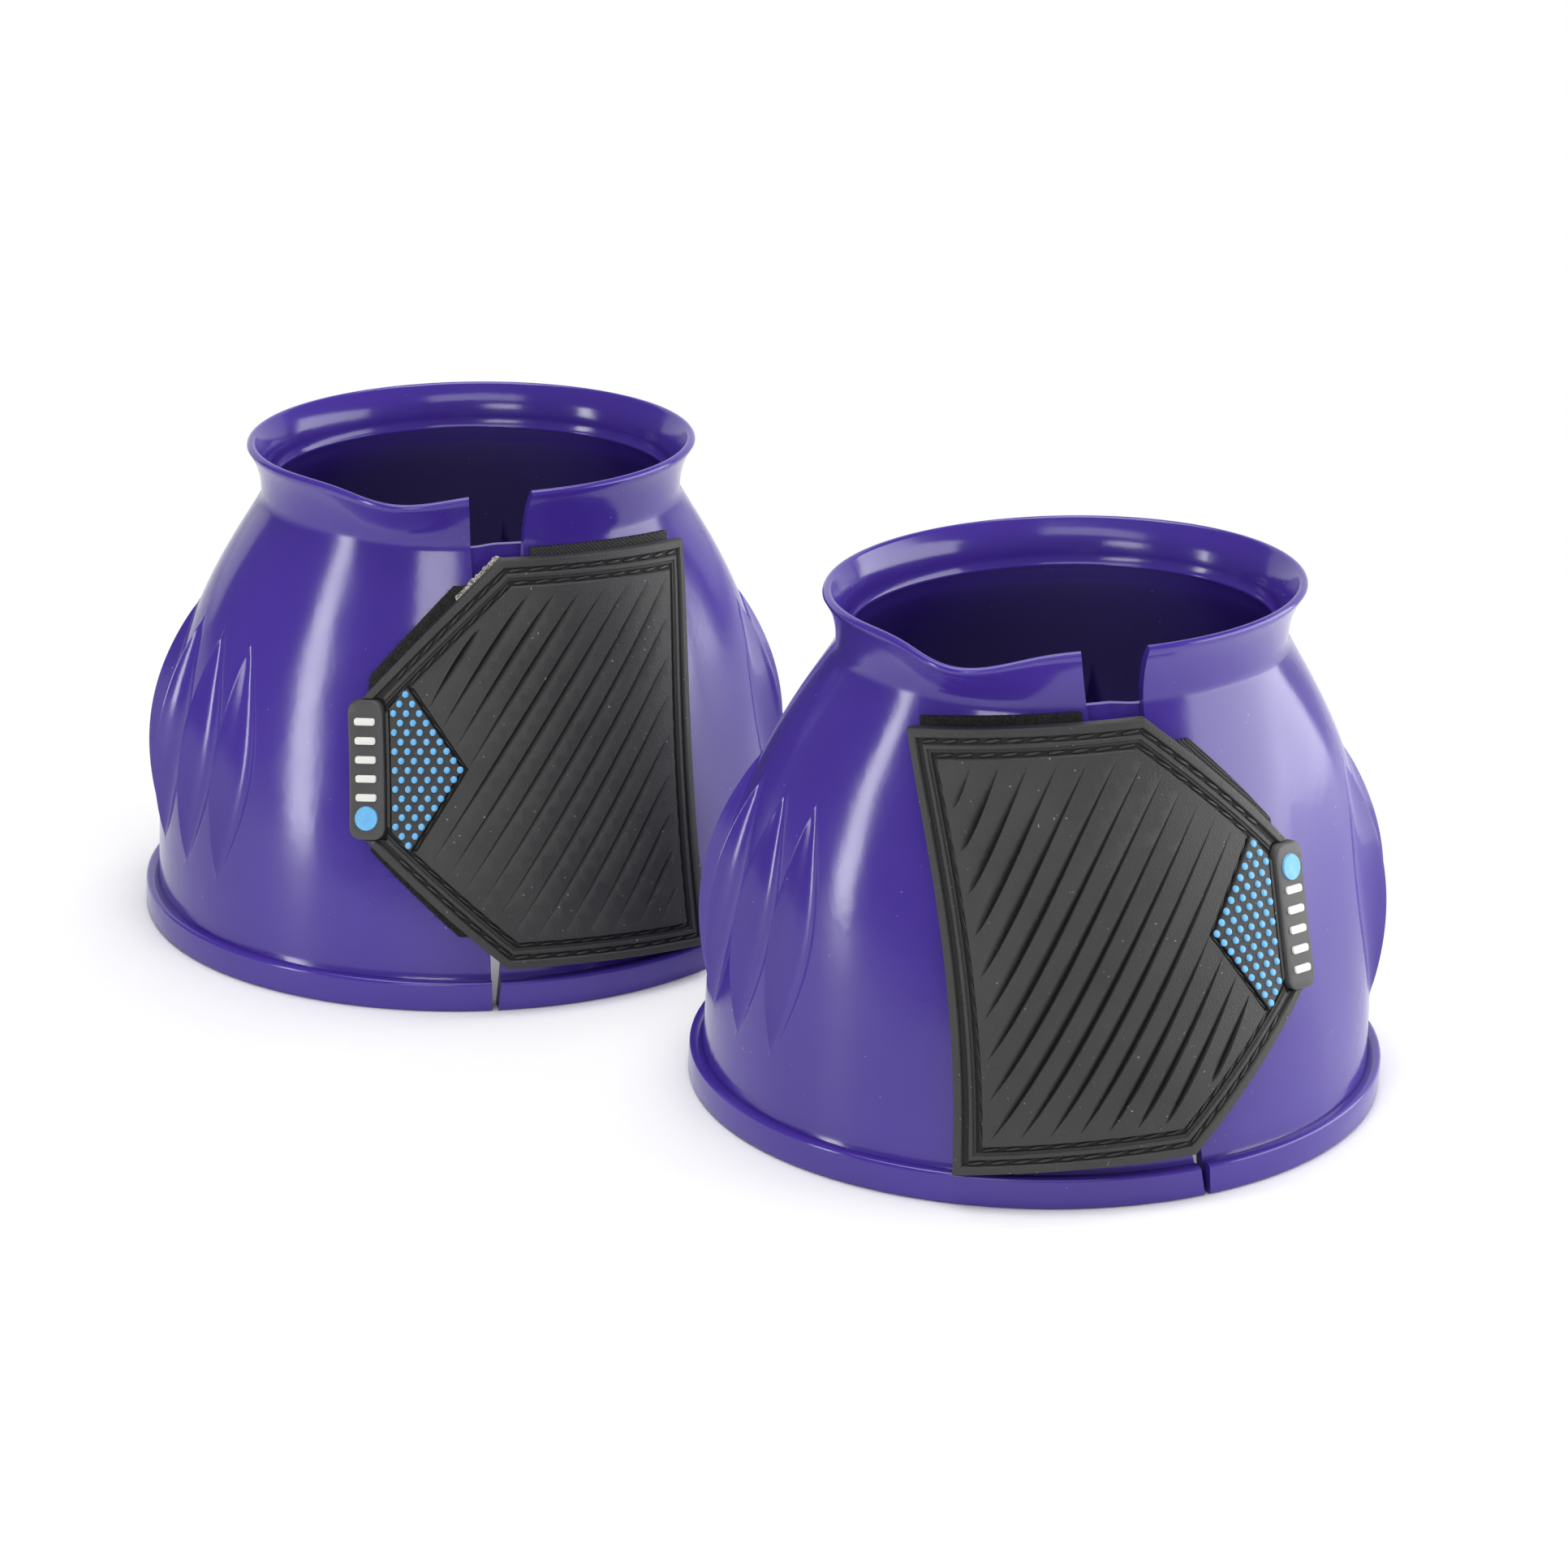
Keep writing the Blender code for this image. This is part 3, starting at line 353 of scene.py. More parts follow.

# %% [markdown]
# Black rubber.  The flap is dull, with a fine leathery grain and grey where it is rubbed.  Its
# grooves are painted far darker than its face: painted shade in the hollows, and partly rubber
# that dust and hands don't reach.  The lamps' own shade could be left to do it, but thin grooves
# stay too pale.  So the flap's mesh carries a number, sunk, that says how deep each point lies,
# and the material paints shade by it.

# %% Black rubber
RUBBER_GREYS = ((0.029, 0.029, 0.029), (0.040, 0.040, 0.039))
RUBBER_GROOVE_SHADE = (0.004, 0.004, 0.004)
DUST_ON_RUBBER = (0.42, 0.42, 0.40)
rubber, tree, shader = new_finish("black_rubber", (0.022, 0.022, 0.022), 0.5)
shader.inputs["Specular IOR Level"].default_value = 0.42
place = object_place(tree)
cells = named_output(tree, "ShaderNodeTexVoronoi", {"feature": "DISTANCE_TO_EDGE"},
                     {"Vector": place, "Scale": 1500.0}, "Distance")
grain = mottle(tree, place, 2600.0, 2.0)
worn = mottle(tree, place, 60.0, 4.0)
specks = mottle(tree, place, 1100.0, 1.0)
dust = specks.ramp(0.765, 0.79)
tone = blend_colours(tree, worn.ramp(0.3, 0.75), *RUBBER_GREYS)
tone = blend_colours(tree, dust * 0.5, tone, DUST_ON_RUBBER)
# painted shade: the deeper a point of the flap is sunk, the nearer its colour goes to the
# near-black groove shade
sunk = named_output(tree, "ShaderNodeAttribute", {"attribute_name": "sunk"}, {}, "Fac")
shaded = sunk.ramp(0.15, 0.75)
feed(shader, "Base Color", blend_colours(tree, shaded, tone, RUBBER_GROOVE_SHADE))
feed(shader, "Roughness", worn.ramp(0.2, 0.8) * 0.12 + 0.46 + shaded * 0.25)
raise_bumps(shader, (cells.ramp(0.0, 0.25), 0.00004), (grain, 0.00003))
print("black rubber nodes:", len(tree.nodes))

# %% [markdown]
# The shell.  The real one is moulded in one piece: a flange at the foot, a swelling wall and a
# rolled lip.  A subdivided cylinder could be pulled to that form, but a turned section is drawn
# to size, as a lathe tool would be.  The tool is a spin, which sweeps a closed profile round in
# steps.  First comes the profile, as points of a height and a distance out from the wall.

# %% Shell section
FLANGE_EDGE = 0.0009
FLANGE_GROOVE = ((0.0, 0.0008), (0.0005, 0.0003))
LIP_EDGE = 0.0012
LIP_ARC = (15, 150, 8)
LIP_STEPS = 9
LIP_FLARE_POWER = 2.4
LIP_INSIDE = ((0.0022, 0.0004), (0.0038, -0.0008), (0.0060, -0.0018), (0.0085, -0.0025))
COLLAR_LINE = ((0.0009, 0.0), (0.0005, 0.0004), (0.0, 0.0006), (-0.0005, 0.0004), (-0.0009, 0.0))
OUTER_STEP = 0.0019
INNER_STEP = 0.0030


def arc(centre, radius, start, end, steps=4):
    """Points of an arc as (height, out); angles run from straight out towards straight up."""
    points = []
    for step in range(steps + 1):
        angle = math.radians(start + (end - start) * step / steps)
        points.append((centre[0] + radius * math.sin(angle), centre[1] + radius * math.cos(angle)))
    return points


def run_of(low, high, out, step):
    count = max(1, round(abs(high - low) / step))
    return [(low + (high - low) * number / count, out) for number in range(count + 1)]


def shell_section():
    """The section from the foot up the outside, over the lip and down the inside."""
    edge = FLANGE_EDGE
    section = arc((edge, FLANGE_PROUD - edge), edge, -90, 0)
    section += arc((FLANGE_HEIGHT - edge, FLANGE_PROUD - edge), edge, 0, 90)
    section += [(FLANGE_HEIGHT - below, out) for below, out in FLANGE_GROOVE]
    section += run_of(FLANGE_HEIGHT, NECK_HEIGHT, 0, OUTER_STEP)
    for step in range(1, LIP_STEPS + 1):
        share = step / LIP_STEPS
        height = NECK_HEIGHT + (LIP_HEIGHT - LIP_EDGE) * share
        section.append((height, LIP_PROUD * share ** LIP_FLARE_POWER))
    section += arc((BOOT_HEIGHT - LIP_EDGE, LIP_PROUD - LIP_EDGE), LIP_EDGE, *LIP_ARC)
    section += [(BOOT_HEIGHT - below, out) for below, out in LIP_INSIDE]
    line = BOOT_HEIGHT - COLLAR_LINE_DROP
    section += [(line + above, -SHELL_WALL - deep) for above, deep in COLLAR_LINE]
    section += run_of(NECK_HEIGHT, FLANGE_HEIGHT, -SHELL_WALL, INNER_STEP)
    section += [(FLANGE_EDGE, -SHELL_WALL), (0, -SHELL_WALL + FLANGE_EDGE / 2)]
    return section


print("points round the shell's section:", len(shell_section()))

# %% [markdown]
# The flutes are leaves moulded in the wall.  Each has a fine crease in front, a slope that climbs
# backwards to a sharp crest, and a steep drop behind it, and all three run from tip to tip.
# They could be separate ridges joined to the bell, but a join shows in gloss.  So the shell's
# own columns of points make them: each column carries its angle, how far it leans, how far it
# bows between the tips, and how proud it stands at the widest part of its leaf.

# %% Flute profile
FLUTE_TIP_SPREAD = 0.16
FLUTE_FADE_POWER = 0.8
FLUTE_PROFILE = (  # (bow in degrees, proud in mm)
    (-7.4, 0.00), (-7.0, -0.12), (-6.6, -0.32), (-6.2, -0.46), (-5.8, -0.50), (-5.2, -0.47),
    (-4.6, -0.36), (-4.0, -0.15), (-3.4, 0.18), (-2.8, 0.62), (-2.2, 1.18), (-1.7, 1.76),
    (-1.2, 2.43), (-0.8, 3.06), (-0.5, 3.58), (-0.2, 4.12), (0.0, 4.45), (0.15, 4.60),
    (0.3, 4.52), (0.5, 4.05), (0.9, 2.65), (1.4, 1.15), (2.0, 0.28), (2.8, 0.00),
)


def flute_along(height):
    return clamp((height - FLUTE_FOOT) / (FLUTE_TOP - FLUTE_FOOT))


def flute_belly(height):
    return math.sin(math.pi * flute_along(height))


print("crest of a flute, mm proud:", max(proud for bow, proud in FLUTE_PROFILE))

# %% Columns of the shell
FILL_STEPS = 6
FRONT_COLUMNS = 103
FRONT_GATHER = 6


def side_columns():
    """Columns of one side from the first flute to the back, as (angle, lean, bow, proud)."""
    lines = [(math.radians(bow), proud / 1000) for bow, proud in FLUTE_PROFILE]
    first_bow, last_bow = lines[0][0], lines[-1][0]
    columns = []
    for tip, following in zip(FLUTE_ANGLES, FLUTE_ANGLES[1:] + (math.pi,)):
        columns += [(tip, FLUTE_LEAN, bow, proud) for bow, proud in lines]
        last = following == math.pi
        next_bow = 0 if last else first_bow
        next_lean = 0 if last else FLUTE_LEAN
        for step in range(1, FILL_STEPS):
            share = step / FILL_STEPS
            columns.append((tip + (following - tip) * share,
                            FLUTE_LEAN + (next_lean - FLUTE_LEAN) * share,
                            last_bow + (next_bow - last_bow) * share, 0))
    return columns


def front_columns(start, count):
    """Plain columns from the slit's edge to the first flute, gathered where its crease bows."""
    bow = math.radians(FLUTE_PROFILE[0][0])
    columns = []
    for step in range(count):
        share = step / count
        angle = start + (FLUTE_ANGLES[0] - start) * share
        gather = share ** FRONT_GATHER
        columns.append((angle, FLUTE_LEAN * gather, bow * gather, 0))
    return columns


def shell_columns(boot):
    """All columns, from one slit edge right round to the other; angles are from the slit."""
    slit = boot.hand * SLIT_FROM_MIDDLE
    near_share = (FLUTE_ANGLES[0] - slit) / (2 * FLUTE_ANGLES[0])
    near_count = round(FRONT_COLUMNS * near_share)
    near = front_columns(slit, near_count) + side_columns()
    far = front_columns(-slit, FRONT_COLUMNS - near_count) + side_columns()
    mirrored = [(math.tau - angle, -lean, -bow, proud) for angle, lean, bow, proud in far[::-1]]
    columns = near + [(math.pi, 0, 0, 0)] + mirrored
    return [(angle - slit, lean, bow, proud) for angle, lean, bow, proud in columns]


def slit_shift(boot, angle, height):
    """How far a column near the slit turns, so that the slit takes its real slant and width."""
    from_slit = min(angle, math.tau - angle)
    share = 1 if angle < math.pi else -1
    reach = FLUTE_ANGLES[0] - SLIT_FROM_MIDDLE - SLIT_SETTLES_BEFORE
    return slit_angle(boot, height, share) * (1 - smooth(from_slit / reach))


# %% [markdown]
# Every finished piece is set in its boot's place, shaded, and tied to the body of the frame that
# it moves with.  That could be repeated for each piece, but one helper does it the same way every
# time: the object stays at the origin, and its place goes into its mesh.

# %% Piece helper
def new_piece(boot, label, mesh, finish, body, replaced=(), sharp=None):
    """Turn a bmesh into a shaded object that rides on a body of its boot."""
    name, body, *replaced = [f"{boot.side}_{part}" for part in (label, body, *replaced)]
    bmesh.ops.transform(mesh, matrix=boot.matrix, verts=mesh.verts)
    data = bpy.data.meshes.new(name)
    mesh.to_mesh(data)
    mesh.free()
    data.shade_smooth()
    if sharp is not None:
        data.set_sharp_from_angle(angle=math.radians(sharp))
    made = bpy.data.objects.new(name, data)
    bpy.context.scene.collection.objects.link(made)
    data.materials.append(finish)
    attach(made, body)
    if replaced:
        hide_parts(*replaced)
    print(f"{name}: {sum(len(face.vertices) - 2 for face in data.polygons)} triangles")


# %% [markdown]
# Making the shells.  The section is spun in a few broad steps and each is split, because one spin
# of hundreds of steps is slow.  The spin sweeps less than a full turn, so that no column falls
# on another, and then each column is eased to its real place on the wall.

# %% Make the shells
SPIN_SWEEP = math.radians(150)
SPIN_SPLIT = 9
SAME_TURN = 0.001
SHELL_SHARP = 50


def is_lengthwise(edge):
    """Whether an edge runs round the bell, from one column of the spin to the next."""
    turns = [math.atan2(vert.co.y, vert.co.x) for vert in edge.verts]
    return abs(turns[0] - turns[1]) > SAME_TURN


def spin_section(steps):
    """Sweep the section round in a few broad steps, split each, and keep each point's out."""
    mesh = bmesh.new()
    out_of = mesh.verts.layers.float.new("out")
    ring = []
    for height, out in shell_section():
        vert = mesh.verts.new((FOOT_RADIUS + out, 0, height))
        vert[out_of] = out
        ring.append(vert)
    face = mesh.faces.new(ring)
    bmesh.ops.spin(mesh, geom=[face] + list(face.edges) + ring, cent=(0, 0, 0), axis=(0, 0, 1),
                   steps=steps // SPIN_SPLIT, angle=SPIN_SWEEP)
    lengthwise = [edge for edge in mesh.edges if is_lengthwise(edge)]
    bmesh.ops.subdivide_edges(mesh, edges=lengthwise, cuts=SPIN_SPLIT - 1, use_grid_fill=True)
    bmesh.ops.triangulate(mesh, faces=[face for face in mesh.faces if len(face.verts) > 4])
    return mesh, out_of


def make_shell(boot):
    columns = shell_columns(boot)
    steps = len(columns) - 1
    print(boot.side, "shell columns:", len(columns), "left over:", steps % SPIN_SPLIT)
    step_angle = SPIN_SWEEP / steps
    mesh, out_of = spin_section(steps)
    for vert in mesh.verts:
        column = round(math.atan2(vert.co.y, vert.co.x) / step_angle)
        angle, lean, bow, proud = columns[column]
        height = vert.co.z
        belly = flute_belly(height)
        angle += lean * (flute_along(height) - 0.5)
        angle += bow * (FLUTE_TIP_SPREAD + (1 - FLUTE_TIP_SPREAD) * belly)
        out = vert[out_of] + proud * belly ** FLUTE_FADE_POWER
        vert.co = wall_point(boot, angle + slit_shift(boot, angle, height), height, out)
    bmesh.ops.recalc_face_normals(mesh, faces=mesh.faces)
    new_piece(boot, "bell", mesh, pvc, "boot", ("shell",), SHELL_SHARP)


for boot in BOOTS:
    make_shell(boot)

# %% [markdown]
# Flat-cut pieces.  The flap, its pads and its inlay are moulded or cut flat and only bend when
# they are sewn on.  They could be modelled bent, but insets and cuts are easy on flat work.  So
# each is made flat, sliced along even lines, and laid on the wall point by point.

# %% Laying flat work on the bell
SHEET_PITCHES = (0.0024, 0.0040)
SLICE_TOUCH = 0.00002
ROUNDED_EDGE = ((0.3, 0.7), (0.7, 0.3))


def inset_top(mesh, steps):
    """Inset the top face in steps of (width, change of height)."""
    top = max(mesh.faces, key=lambda face: face.calc_center_median().z)
    for width, rise in steps:
        bmesh.ops.inset_region(mesh, faces=[top], thickness=width, depth=rise,
                               use_even_offset=True)


def flat_plate(outline, thickness, edge=0.0, base=0.0):
    """A plate from its outline in u and w; edge is how much of its upper rim is rounded off."""
    mesh = bmesh.new()
    face = mesh.faces.new([mesh.verts.new((u, w, base)) for u, w in outline])
    top = bmesh.ops.extrude_face_region(mesh, geom=[face])["geom"]
    verts = [item for item in top if isinstance(item, bmesh.types.BMVert)]
    bmesh.ops.translate(mesh, verts=verts, vec=(0, 0, thickness - edge))
    bmesh.ops.recalc_face_normals(mesh, faces=mesh.faces)
    if edge:
        inset_top(mesh, [(edge * width, edge * rise) for width, rise in ROUNDED_EDGE])
    return mesh


def slice_sheet(mesh):
    for axis, pitch in enumerate(SHEET_PITCHES):
        low = min(vert.co[axis] for vert in mesh.verts)
        high = max(vert.co[axis] for vert in mesh.verts)
        normal = Vector((0, 0, 0))
        normal[axis] = 1
        for number in range(math.ceil(low / pitch), math.floor(high / pitch) + 1):
            geometry = list(mesh.verts) + list(mesh.edges) + list(mesh.faces)
            bmesh.ops.bisect_plane(mesh, geom=geometry, plane_co=normal * number * pitch,
                                   plane_no=normal, dist=SLICE_TOUCH)
    bmesh.ops.triangulate(mesh, faces=mesh.faces)


def lay(boot, mesh, out):
    """Lay flat work, whose z is its thickness, at a distance outside the wall."""
    for vert in mesh.verts:
        u, w, depth = vert.co
        vert.co = laid_point(boot, u, w, out + depth)
    if boot.hand < 0:
        bmesh.ops.reverse_faces(mesh, faces=mesh.faces)


# %% [markdown]
# The flap.  It is a moulded rubber panel with a rounded rim, a channel for each row of stitches
# and a raised band between them.  The border could be a bevelled frame laid on top, but on the
# real flap it is one skin with the face.  So the outline is inset again and again, up and down.

# %% Flap sizes
FLAP_HINGE_U = -0.0578
FLAP_CORNER_U = -0.0028
FLAP_END_U = 0.0338
FLAP_END_HALF_HEIGHT = 0.0165
FLAP_TOP_W = BOOT_HEIGHT - 0.0170
FLAP_FOOT_W = FLANGE_HEIGHT + 0.0004 + FLAP_HINGE_U ** 2 / (2 * FLAP_DROP_RADIUS)
FLAP_MIDDLE_W = (FLAP_TOP_W + FLAP_FOOT_W) / 2
FLAP_HALF_HEIGHT = (FLAP_TOP_W - FLAP_FOOT_W) / 2
FLAP_THICKNESS = 0.0026
PAD_THICKNESS = 0.0011
BACKING_THICKNESS = 0.0009
FLAP_LAYER = 3 * GAP + PAD_THICKNESS + BACKING_THICKNESS
TAB_WIDTH = 0.0095
TAB_HALF_HEIGHT = FLAP_END_HALF_HEIGHT + 0.0005
TAB_START_U = FLAP_END_U + 0.0030 - TAB_WIDTH
TAB_SEAT = 0.0012
TAB_THICKNESS = 0.0021
INLAY_THICKNESS = 0.0010
INLAY_END_U = TAB_START_U - 0.0008 - 2 * GAP
INLAY_SHOULDER_U = INLAY_END_U - 0.0048
INLAY_APEX_U = INLAY_END_U - 0.0180
INLAY_SHOULDER_HALF = 0.0200
INLAY_END_HALF = 0.0150
BORDER_STEPS = (  # (width, change of height), from the rim inwards
    (0.0015, 0.0),
    (0.0002, -0.0002), (0.0002, -0.0006), (0.0011, 0.0), (0.0002, 0.0005), (0.0002, 0.0002),
    (0.0007, 0.0),
    (0.0002, -0.0004), (0.0006, 0.0),
    (0.0001, -0.0004), (0.0011, 0.0), (0.0002, 0.0007), (0.0002, 0.0002),
)
BORDER_EDGE = 0.0003
BORDER_WIDTH = BORDER_EDGE + sum(width for width, rise in BORDER_STEPS)
print("flap, mm:", round(1000 * (FLAP_END_U - FLAP_HINGE_U), 1), "by",
      round(2000 * FLAP_HALF_HEIGHT, 1), "with a border of", round(1000 * BORDER_WIDTH, 2))


# %% Outlines of the flap and the inlay
def flap_outline(inset=0.0):
    slant = math.atan2(FLAP_HALF_HEIGHT - FLAP_END_HALF_HEIGHT, FLAP_END_U - FLAP_CORNER_U)
    corner_u = FLAP_CORNER_U - inset * math.tan(slant / 2)
    end_half = FLAP_END_HALF_HEIGHT - inset * math.tan((math.pi / 2 - slant) / 2)
    half = FLAP_HALF_HEIGHT - inset
    return [
        (FLAP_HINGE_U + inset, FLAP_MIDDLE_W - half),
        (corner_u, FLAP_MIDDLE_W - half),
        (FLAP_END_U - inset, FLAP_MIDDLE_W - end_half),
        (FLAP_END_U - inset, FLAP_MIDDLE_W + end_half),
        (corner_u, FLAP_MIDDLE_W + half),
        (FLAP_HINGE_U + inset, FLAP_MIDDLE_W + half),
    ]


def inlay_outline(grow=0.0):
    shoulder = INLAY_SHOULDER_HALF + grow
    end = INLAY_END_HALF + grow
    return [
        (INLAY_APEX_U - grow, FLAP_MIDDLE_W),
        (INLAY_SHOULDER_U - grow, FLAP_MIDDLE_W - shoulder),
        (INLAY_END_U + grow, FLAP_MIDDLE_W - end),
        (INLAY_END_U + grow, FLAP_MIDDLE_W + end),
        (INLAY_SHOULDER_U - grow, FLAP_MIDDLE_W + shoulder),
    ]


# %% [markdown]
# The ribs.  What stands between the moulded grooves reads as tapered ribs.  A bump map could
# suggest them, but they show at the flap's edge and catch the lamps.  Each groove is lens-shaped
# with one steep side, so a three-sided cone is sliced into stations, widened and narrowed along
# its run, and cut out of the panel with a Boolean.

# %% Where each groove runs
RIB_ANGLE = math.radians(55)
RIB_PITCH = 0.0054
RIB_COUNT = 18
RIB_FIRST = -0.0204
GROOVE_WIDE = 0.0021
GROOVE_DEPTH = 0.0013
GROOVE_MARGIN = 0.0016


def groove_run(number):
    """Start and end of one groove, clipped to the ribbed panel and to the inlay's point."""
    along = Vector((math.cos(RIB_ANGLE), math.sin(RIB_ANGLE)))
    across = Vector((-along.y, along.x))
    start = across * (RIB_FIRST + number * RIB_PITCH) + Vector((INLAY_APEX_U, FLAP_MIDDLE_W))
    corners = [Vector(point) for point in flap_outline(BORDER_WIDTH + GROOVE_MARGIN)]
    lowest, highest = -BOOT_HEIGHT, BOOT_HEIGHT
    for corner, following in zip(corners, corners[1:] + corners[:1]):
        edge = following - corner
        inward = Vector((-edge.y, edge.x)).normalized()
        reach = inward.dot(corner - start)
        slope = inward.dot(along)
        if slope > 0:
            lowest = max(lowest, reach / slope)
        elif slope < 0:
            highest = min(highest, reach / slope)
    apex, shoulder = [Vector(point) for point in inlay_outline(GROOVE_MARGIN)[:2]]
    edge = shoulder - apex
    normal = Vector((edge.y, -edge.x))
    meeting = normal.dot(apex - start) / normal.dot(along)
    place = start + along * meeting
    if shoulder.y <= place.y <= apex.y:
        highest = min(highest, meeting)
    return start + along * lowest, start + along * highest


runs = [tip - foot for foot, tip in map(groove_run, range(RIB_COUNT))]
print("longest groove, mm:", round(1000 * max(run.length for run in runs), 1))

# %% Groove cutters
GROOVE_STEEP = 0.0003
GROOVE_STATIONS = 14
GROOVE_OVER = 0.4
GROOVE_TIP_SHARE = 0.03
GROOVE_WIDEST_POWER = 0.66
GROOVE_FULL_POWER = 0.75
SHORT_GROOVE = 0.03
SHORT_GROOVE_SHARE = 0.25


def groove_share(along):
    """How wide a groove is along its run: pointed at both ends, widest a third of the way up."""
    rounded = math.sin(math.pi * clamp(along) ** GROOVE_WIDEST_POWER) ** GROOVE_FULL_POWER
    return max(GROOVE_TIP_SHARE, rounded)


def add_groove_cutter(cutters, foot, run):
    """One cutter: a three-sided cone along z is sliced, and its points go to their places."""
    corners = (
        (GROOVE_WIDE / 2 + GROOVE_WIDE * GROOVE_OVER, GROOVE_DEPTH * GROOVE_OVER),
        (GROOVE_STEEP - GROOVE_WIDE / 2, -GROOVE_DEPTH),
        (-GROOVE_WIDE / 2 - GROOVE_STEEP * GROOVE_OVER, GROOVE_DEPTH * GROOVE_OVER),
    )
    made = bmesh.ops.create_cone(cutters, cap_ends=True, segments=3, depth=1, radius1=1,
                                 radius2=1)
    verts = set(made["verts"])
    for step in range(1, GROOVE_STATIONS):
        edges = {edge for vert in verts for edge in vert.link_edges}
        faces = {face for vert in verts for face in vert.link_faces}
        sliced = bmesh.ops.bisect_plane(
            cutters, geom=list(verts) + list(edges) + list(faces),
            plane_co=(0, 0, step / GROOVE_STATIONS - 0.5), plane_no=(0, 0, 1), dist=0.0001)
        verts |= {item for item in sliced["geom_cut"] if isinstance(item, bmesh.types.BMVert)}
    along = run.normalized()
    across = Vector((-along.y, along.x))
    for vert in verts:
        corner = round(math.atan2(vert.co.y, vert.co.x) / math.tau * 3) % 3
        share = vert.co.z + 0.5
        wide = groove_share(share) * min(1, run.length / SHORT_GROOVE + SHORT_GROOVE_SHARE)
        aside, rise = corners[corner]
        place = foot + run * share + across * aside * wide
        vert.co = (place.x, place.y, FLAP_THICKNESS + rise * wide)


def groove_cutters():
    cutters = bmesh.new()
    for number in range(RIB_COUNT):
        foot, tip = groove_run(number)
        run = tip - foot
        if run.y >= 2 * GROOVE_WIDE:
            add_groove_cutter(cutters, foot, run)
    bmesh.ops.recalc_face_normals(cutters, faces=cutters.faces)
    return cutters


# %% Cutting one form out of another
def cut_away(mesh, cutter):
    """Cut one bmesh by another with a Boolean modifier, apply it and return the result."""
    objects = []
    for source in (mesh, cutter):
        data = bpy.data.meshes.new("cutting")
        source.to_mesh(data)
        source.free()
        made = bpy.data.objects.new("cutting", data)
        bpy.context.scene.collection.objects.link(made)
        objects.append(made)
    body, tool = objects
    difference = body.modifiers.new("cut", "BOOLEAN")
    difference.operation = "DIFFERENCE"
    difference.solver = "EXACT"
    difference.object = tool
    bpy.context.view_layer.update()
    evaluated = body.evaluated_get(bpy.context.evaluated_depsgraph_get())
    result = bmesh.new()
    result.from_mesh(evaluated.to_mesh())
    evaluated.to_mesh_clear()
    for made in objects:
        bpy.data.objects.remove(made)
    return result


# %% [markdown]
# The same moulding serves both boots.  Beside the grooves it gets a V-shaped channel, a shallow
# seat that the inlay is let into, and a thin ledge for the pull tab.  Each could be modelled in
# the outline, but a cut with a plate of the right depth keeps the border whole.

# %% Cuts in the moulding
OVERRUN = 0.0010
INLAY_CHANNEL = 0.0017
INLAY_CHANNEL_DEPTH = 0.0009


def inlay_channel_outline():
    """The V-shaped channel round the inlay's point."""
    shoulders = (FLAP_MIDDLE_W - INLAY_SHOULDER_HALF, FLAP_MIDDLE_W + INLAY_SHOULDER_HALF)
    outer, inner = INLAY_CHANNEL, GAP / 3
    return [
        (INLAY_SHOULDER_U - inner, shoulders[0]), (INLAY_SHOULDER_U - inner, shoulders[1]),
        (INLAY_SHOULDER_U - outer, shoulders[1]), (INLAY_APEX_U - outer, FLAP_MIDDLE_W),
        (INLAY_SHOULDER_U - outer, shoulders[0]),
    ]


def tab_ledge_outline():
    start, end = TAB_START_U - GAP, FLAP_END_U + OVERRUN
    low, high = [FLAP_MIDDLE_W + way * (TAB_HALF_HEIGHT + GAP) for way in (-1, 1)]
    return [(start, low), (end, low), (end, high), (start, high)]


def moulded_flap():
    mesh = flat_plate(flap_outline(), FLAP_THICKNESS, BORDER_EDGE)
    inset_top(mesh, BORDER_STEPS)
    mesh = cut_away(mesh, groove_cutters())
    for outline, thickness, base in (
            (inlay_channel_outline(), INLAY_CHANNEL_DEPTH, FLAP_THICKNESS - INLAY_CHANNEL_DEPTH),
            (inlay_outline(GAP), INLAY_THICKNESS + GAP, FLAP_THICKNESS - INLAY_THICKNESS - GAP),
            (tab_ledge_outline(), FLAP_THICKNESS, TAB_SEAT)):
        mesh = cut_away(mesh, flat_plate(outline, thickness + OVERRUN, base=base))
    return mesh


# %% Make the flap panels
DEEPEST_SUNK = 1.15
MOULDING_SHARP = 32


# The sunk number drives the rubber's painted shade in the grooves.
def note_sunk(mesh):
    """Keep how far each point of the face is sunk: 0 on the face and 1 at a groove's bottom."""
    sunk_of = mesh.verts.layers.float.new("sunk")
    for vert in mesh.verts:
        share = (FLAP_THICKNESS - vert.co.z) / GROOVE_DEPTH
        vert[sunk_of] = share if 0 < share < DEEPEST_SUNK else 0


def turn_for_hand(boot, mesh):
    """The same moulding serves both boots: on the left one it lies end for end."""
    if boot.hand < 0:
        for vert in mesh.verts:
            vert.co.y = 2 * FLAP_MIDDLE_W - vert.co.y
        bmesh.ops.reverse_faces(mesh, faces=mesh.faces)


moulding = moulded_flap()
note_sunk(moulding)
for boot in BOOTS:
    mesh = moulding.copy()
    turn_for_hand(boot, mesh)
    slice_sheet(mesh)
    lay(boot, mesh, FLAP_LAYER)
    new_piece(boot, "flap", mesh, rubber, "closure", ("flap_panel",),
              MOULDING_SHARP)
moulding.free()

# %% [markdown]
# Stitches.  Each row is a lockstitch in thick black thread, about five to the inch.  A curve
# woven in and out of the rubber would be truer, but only the part above it shows.  So a stitch is
# a small bulged bead in its channel, slightly aslant: a squashed icosphere.

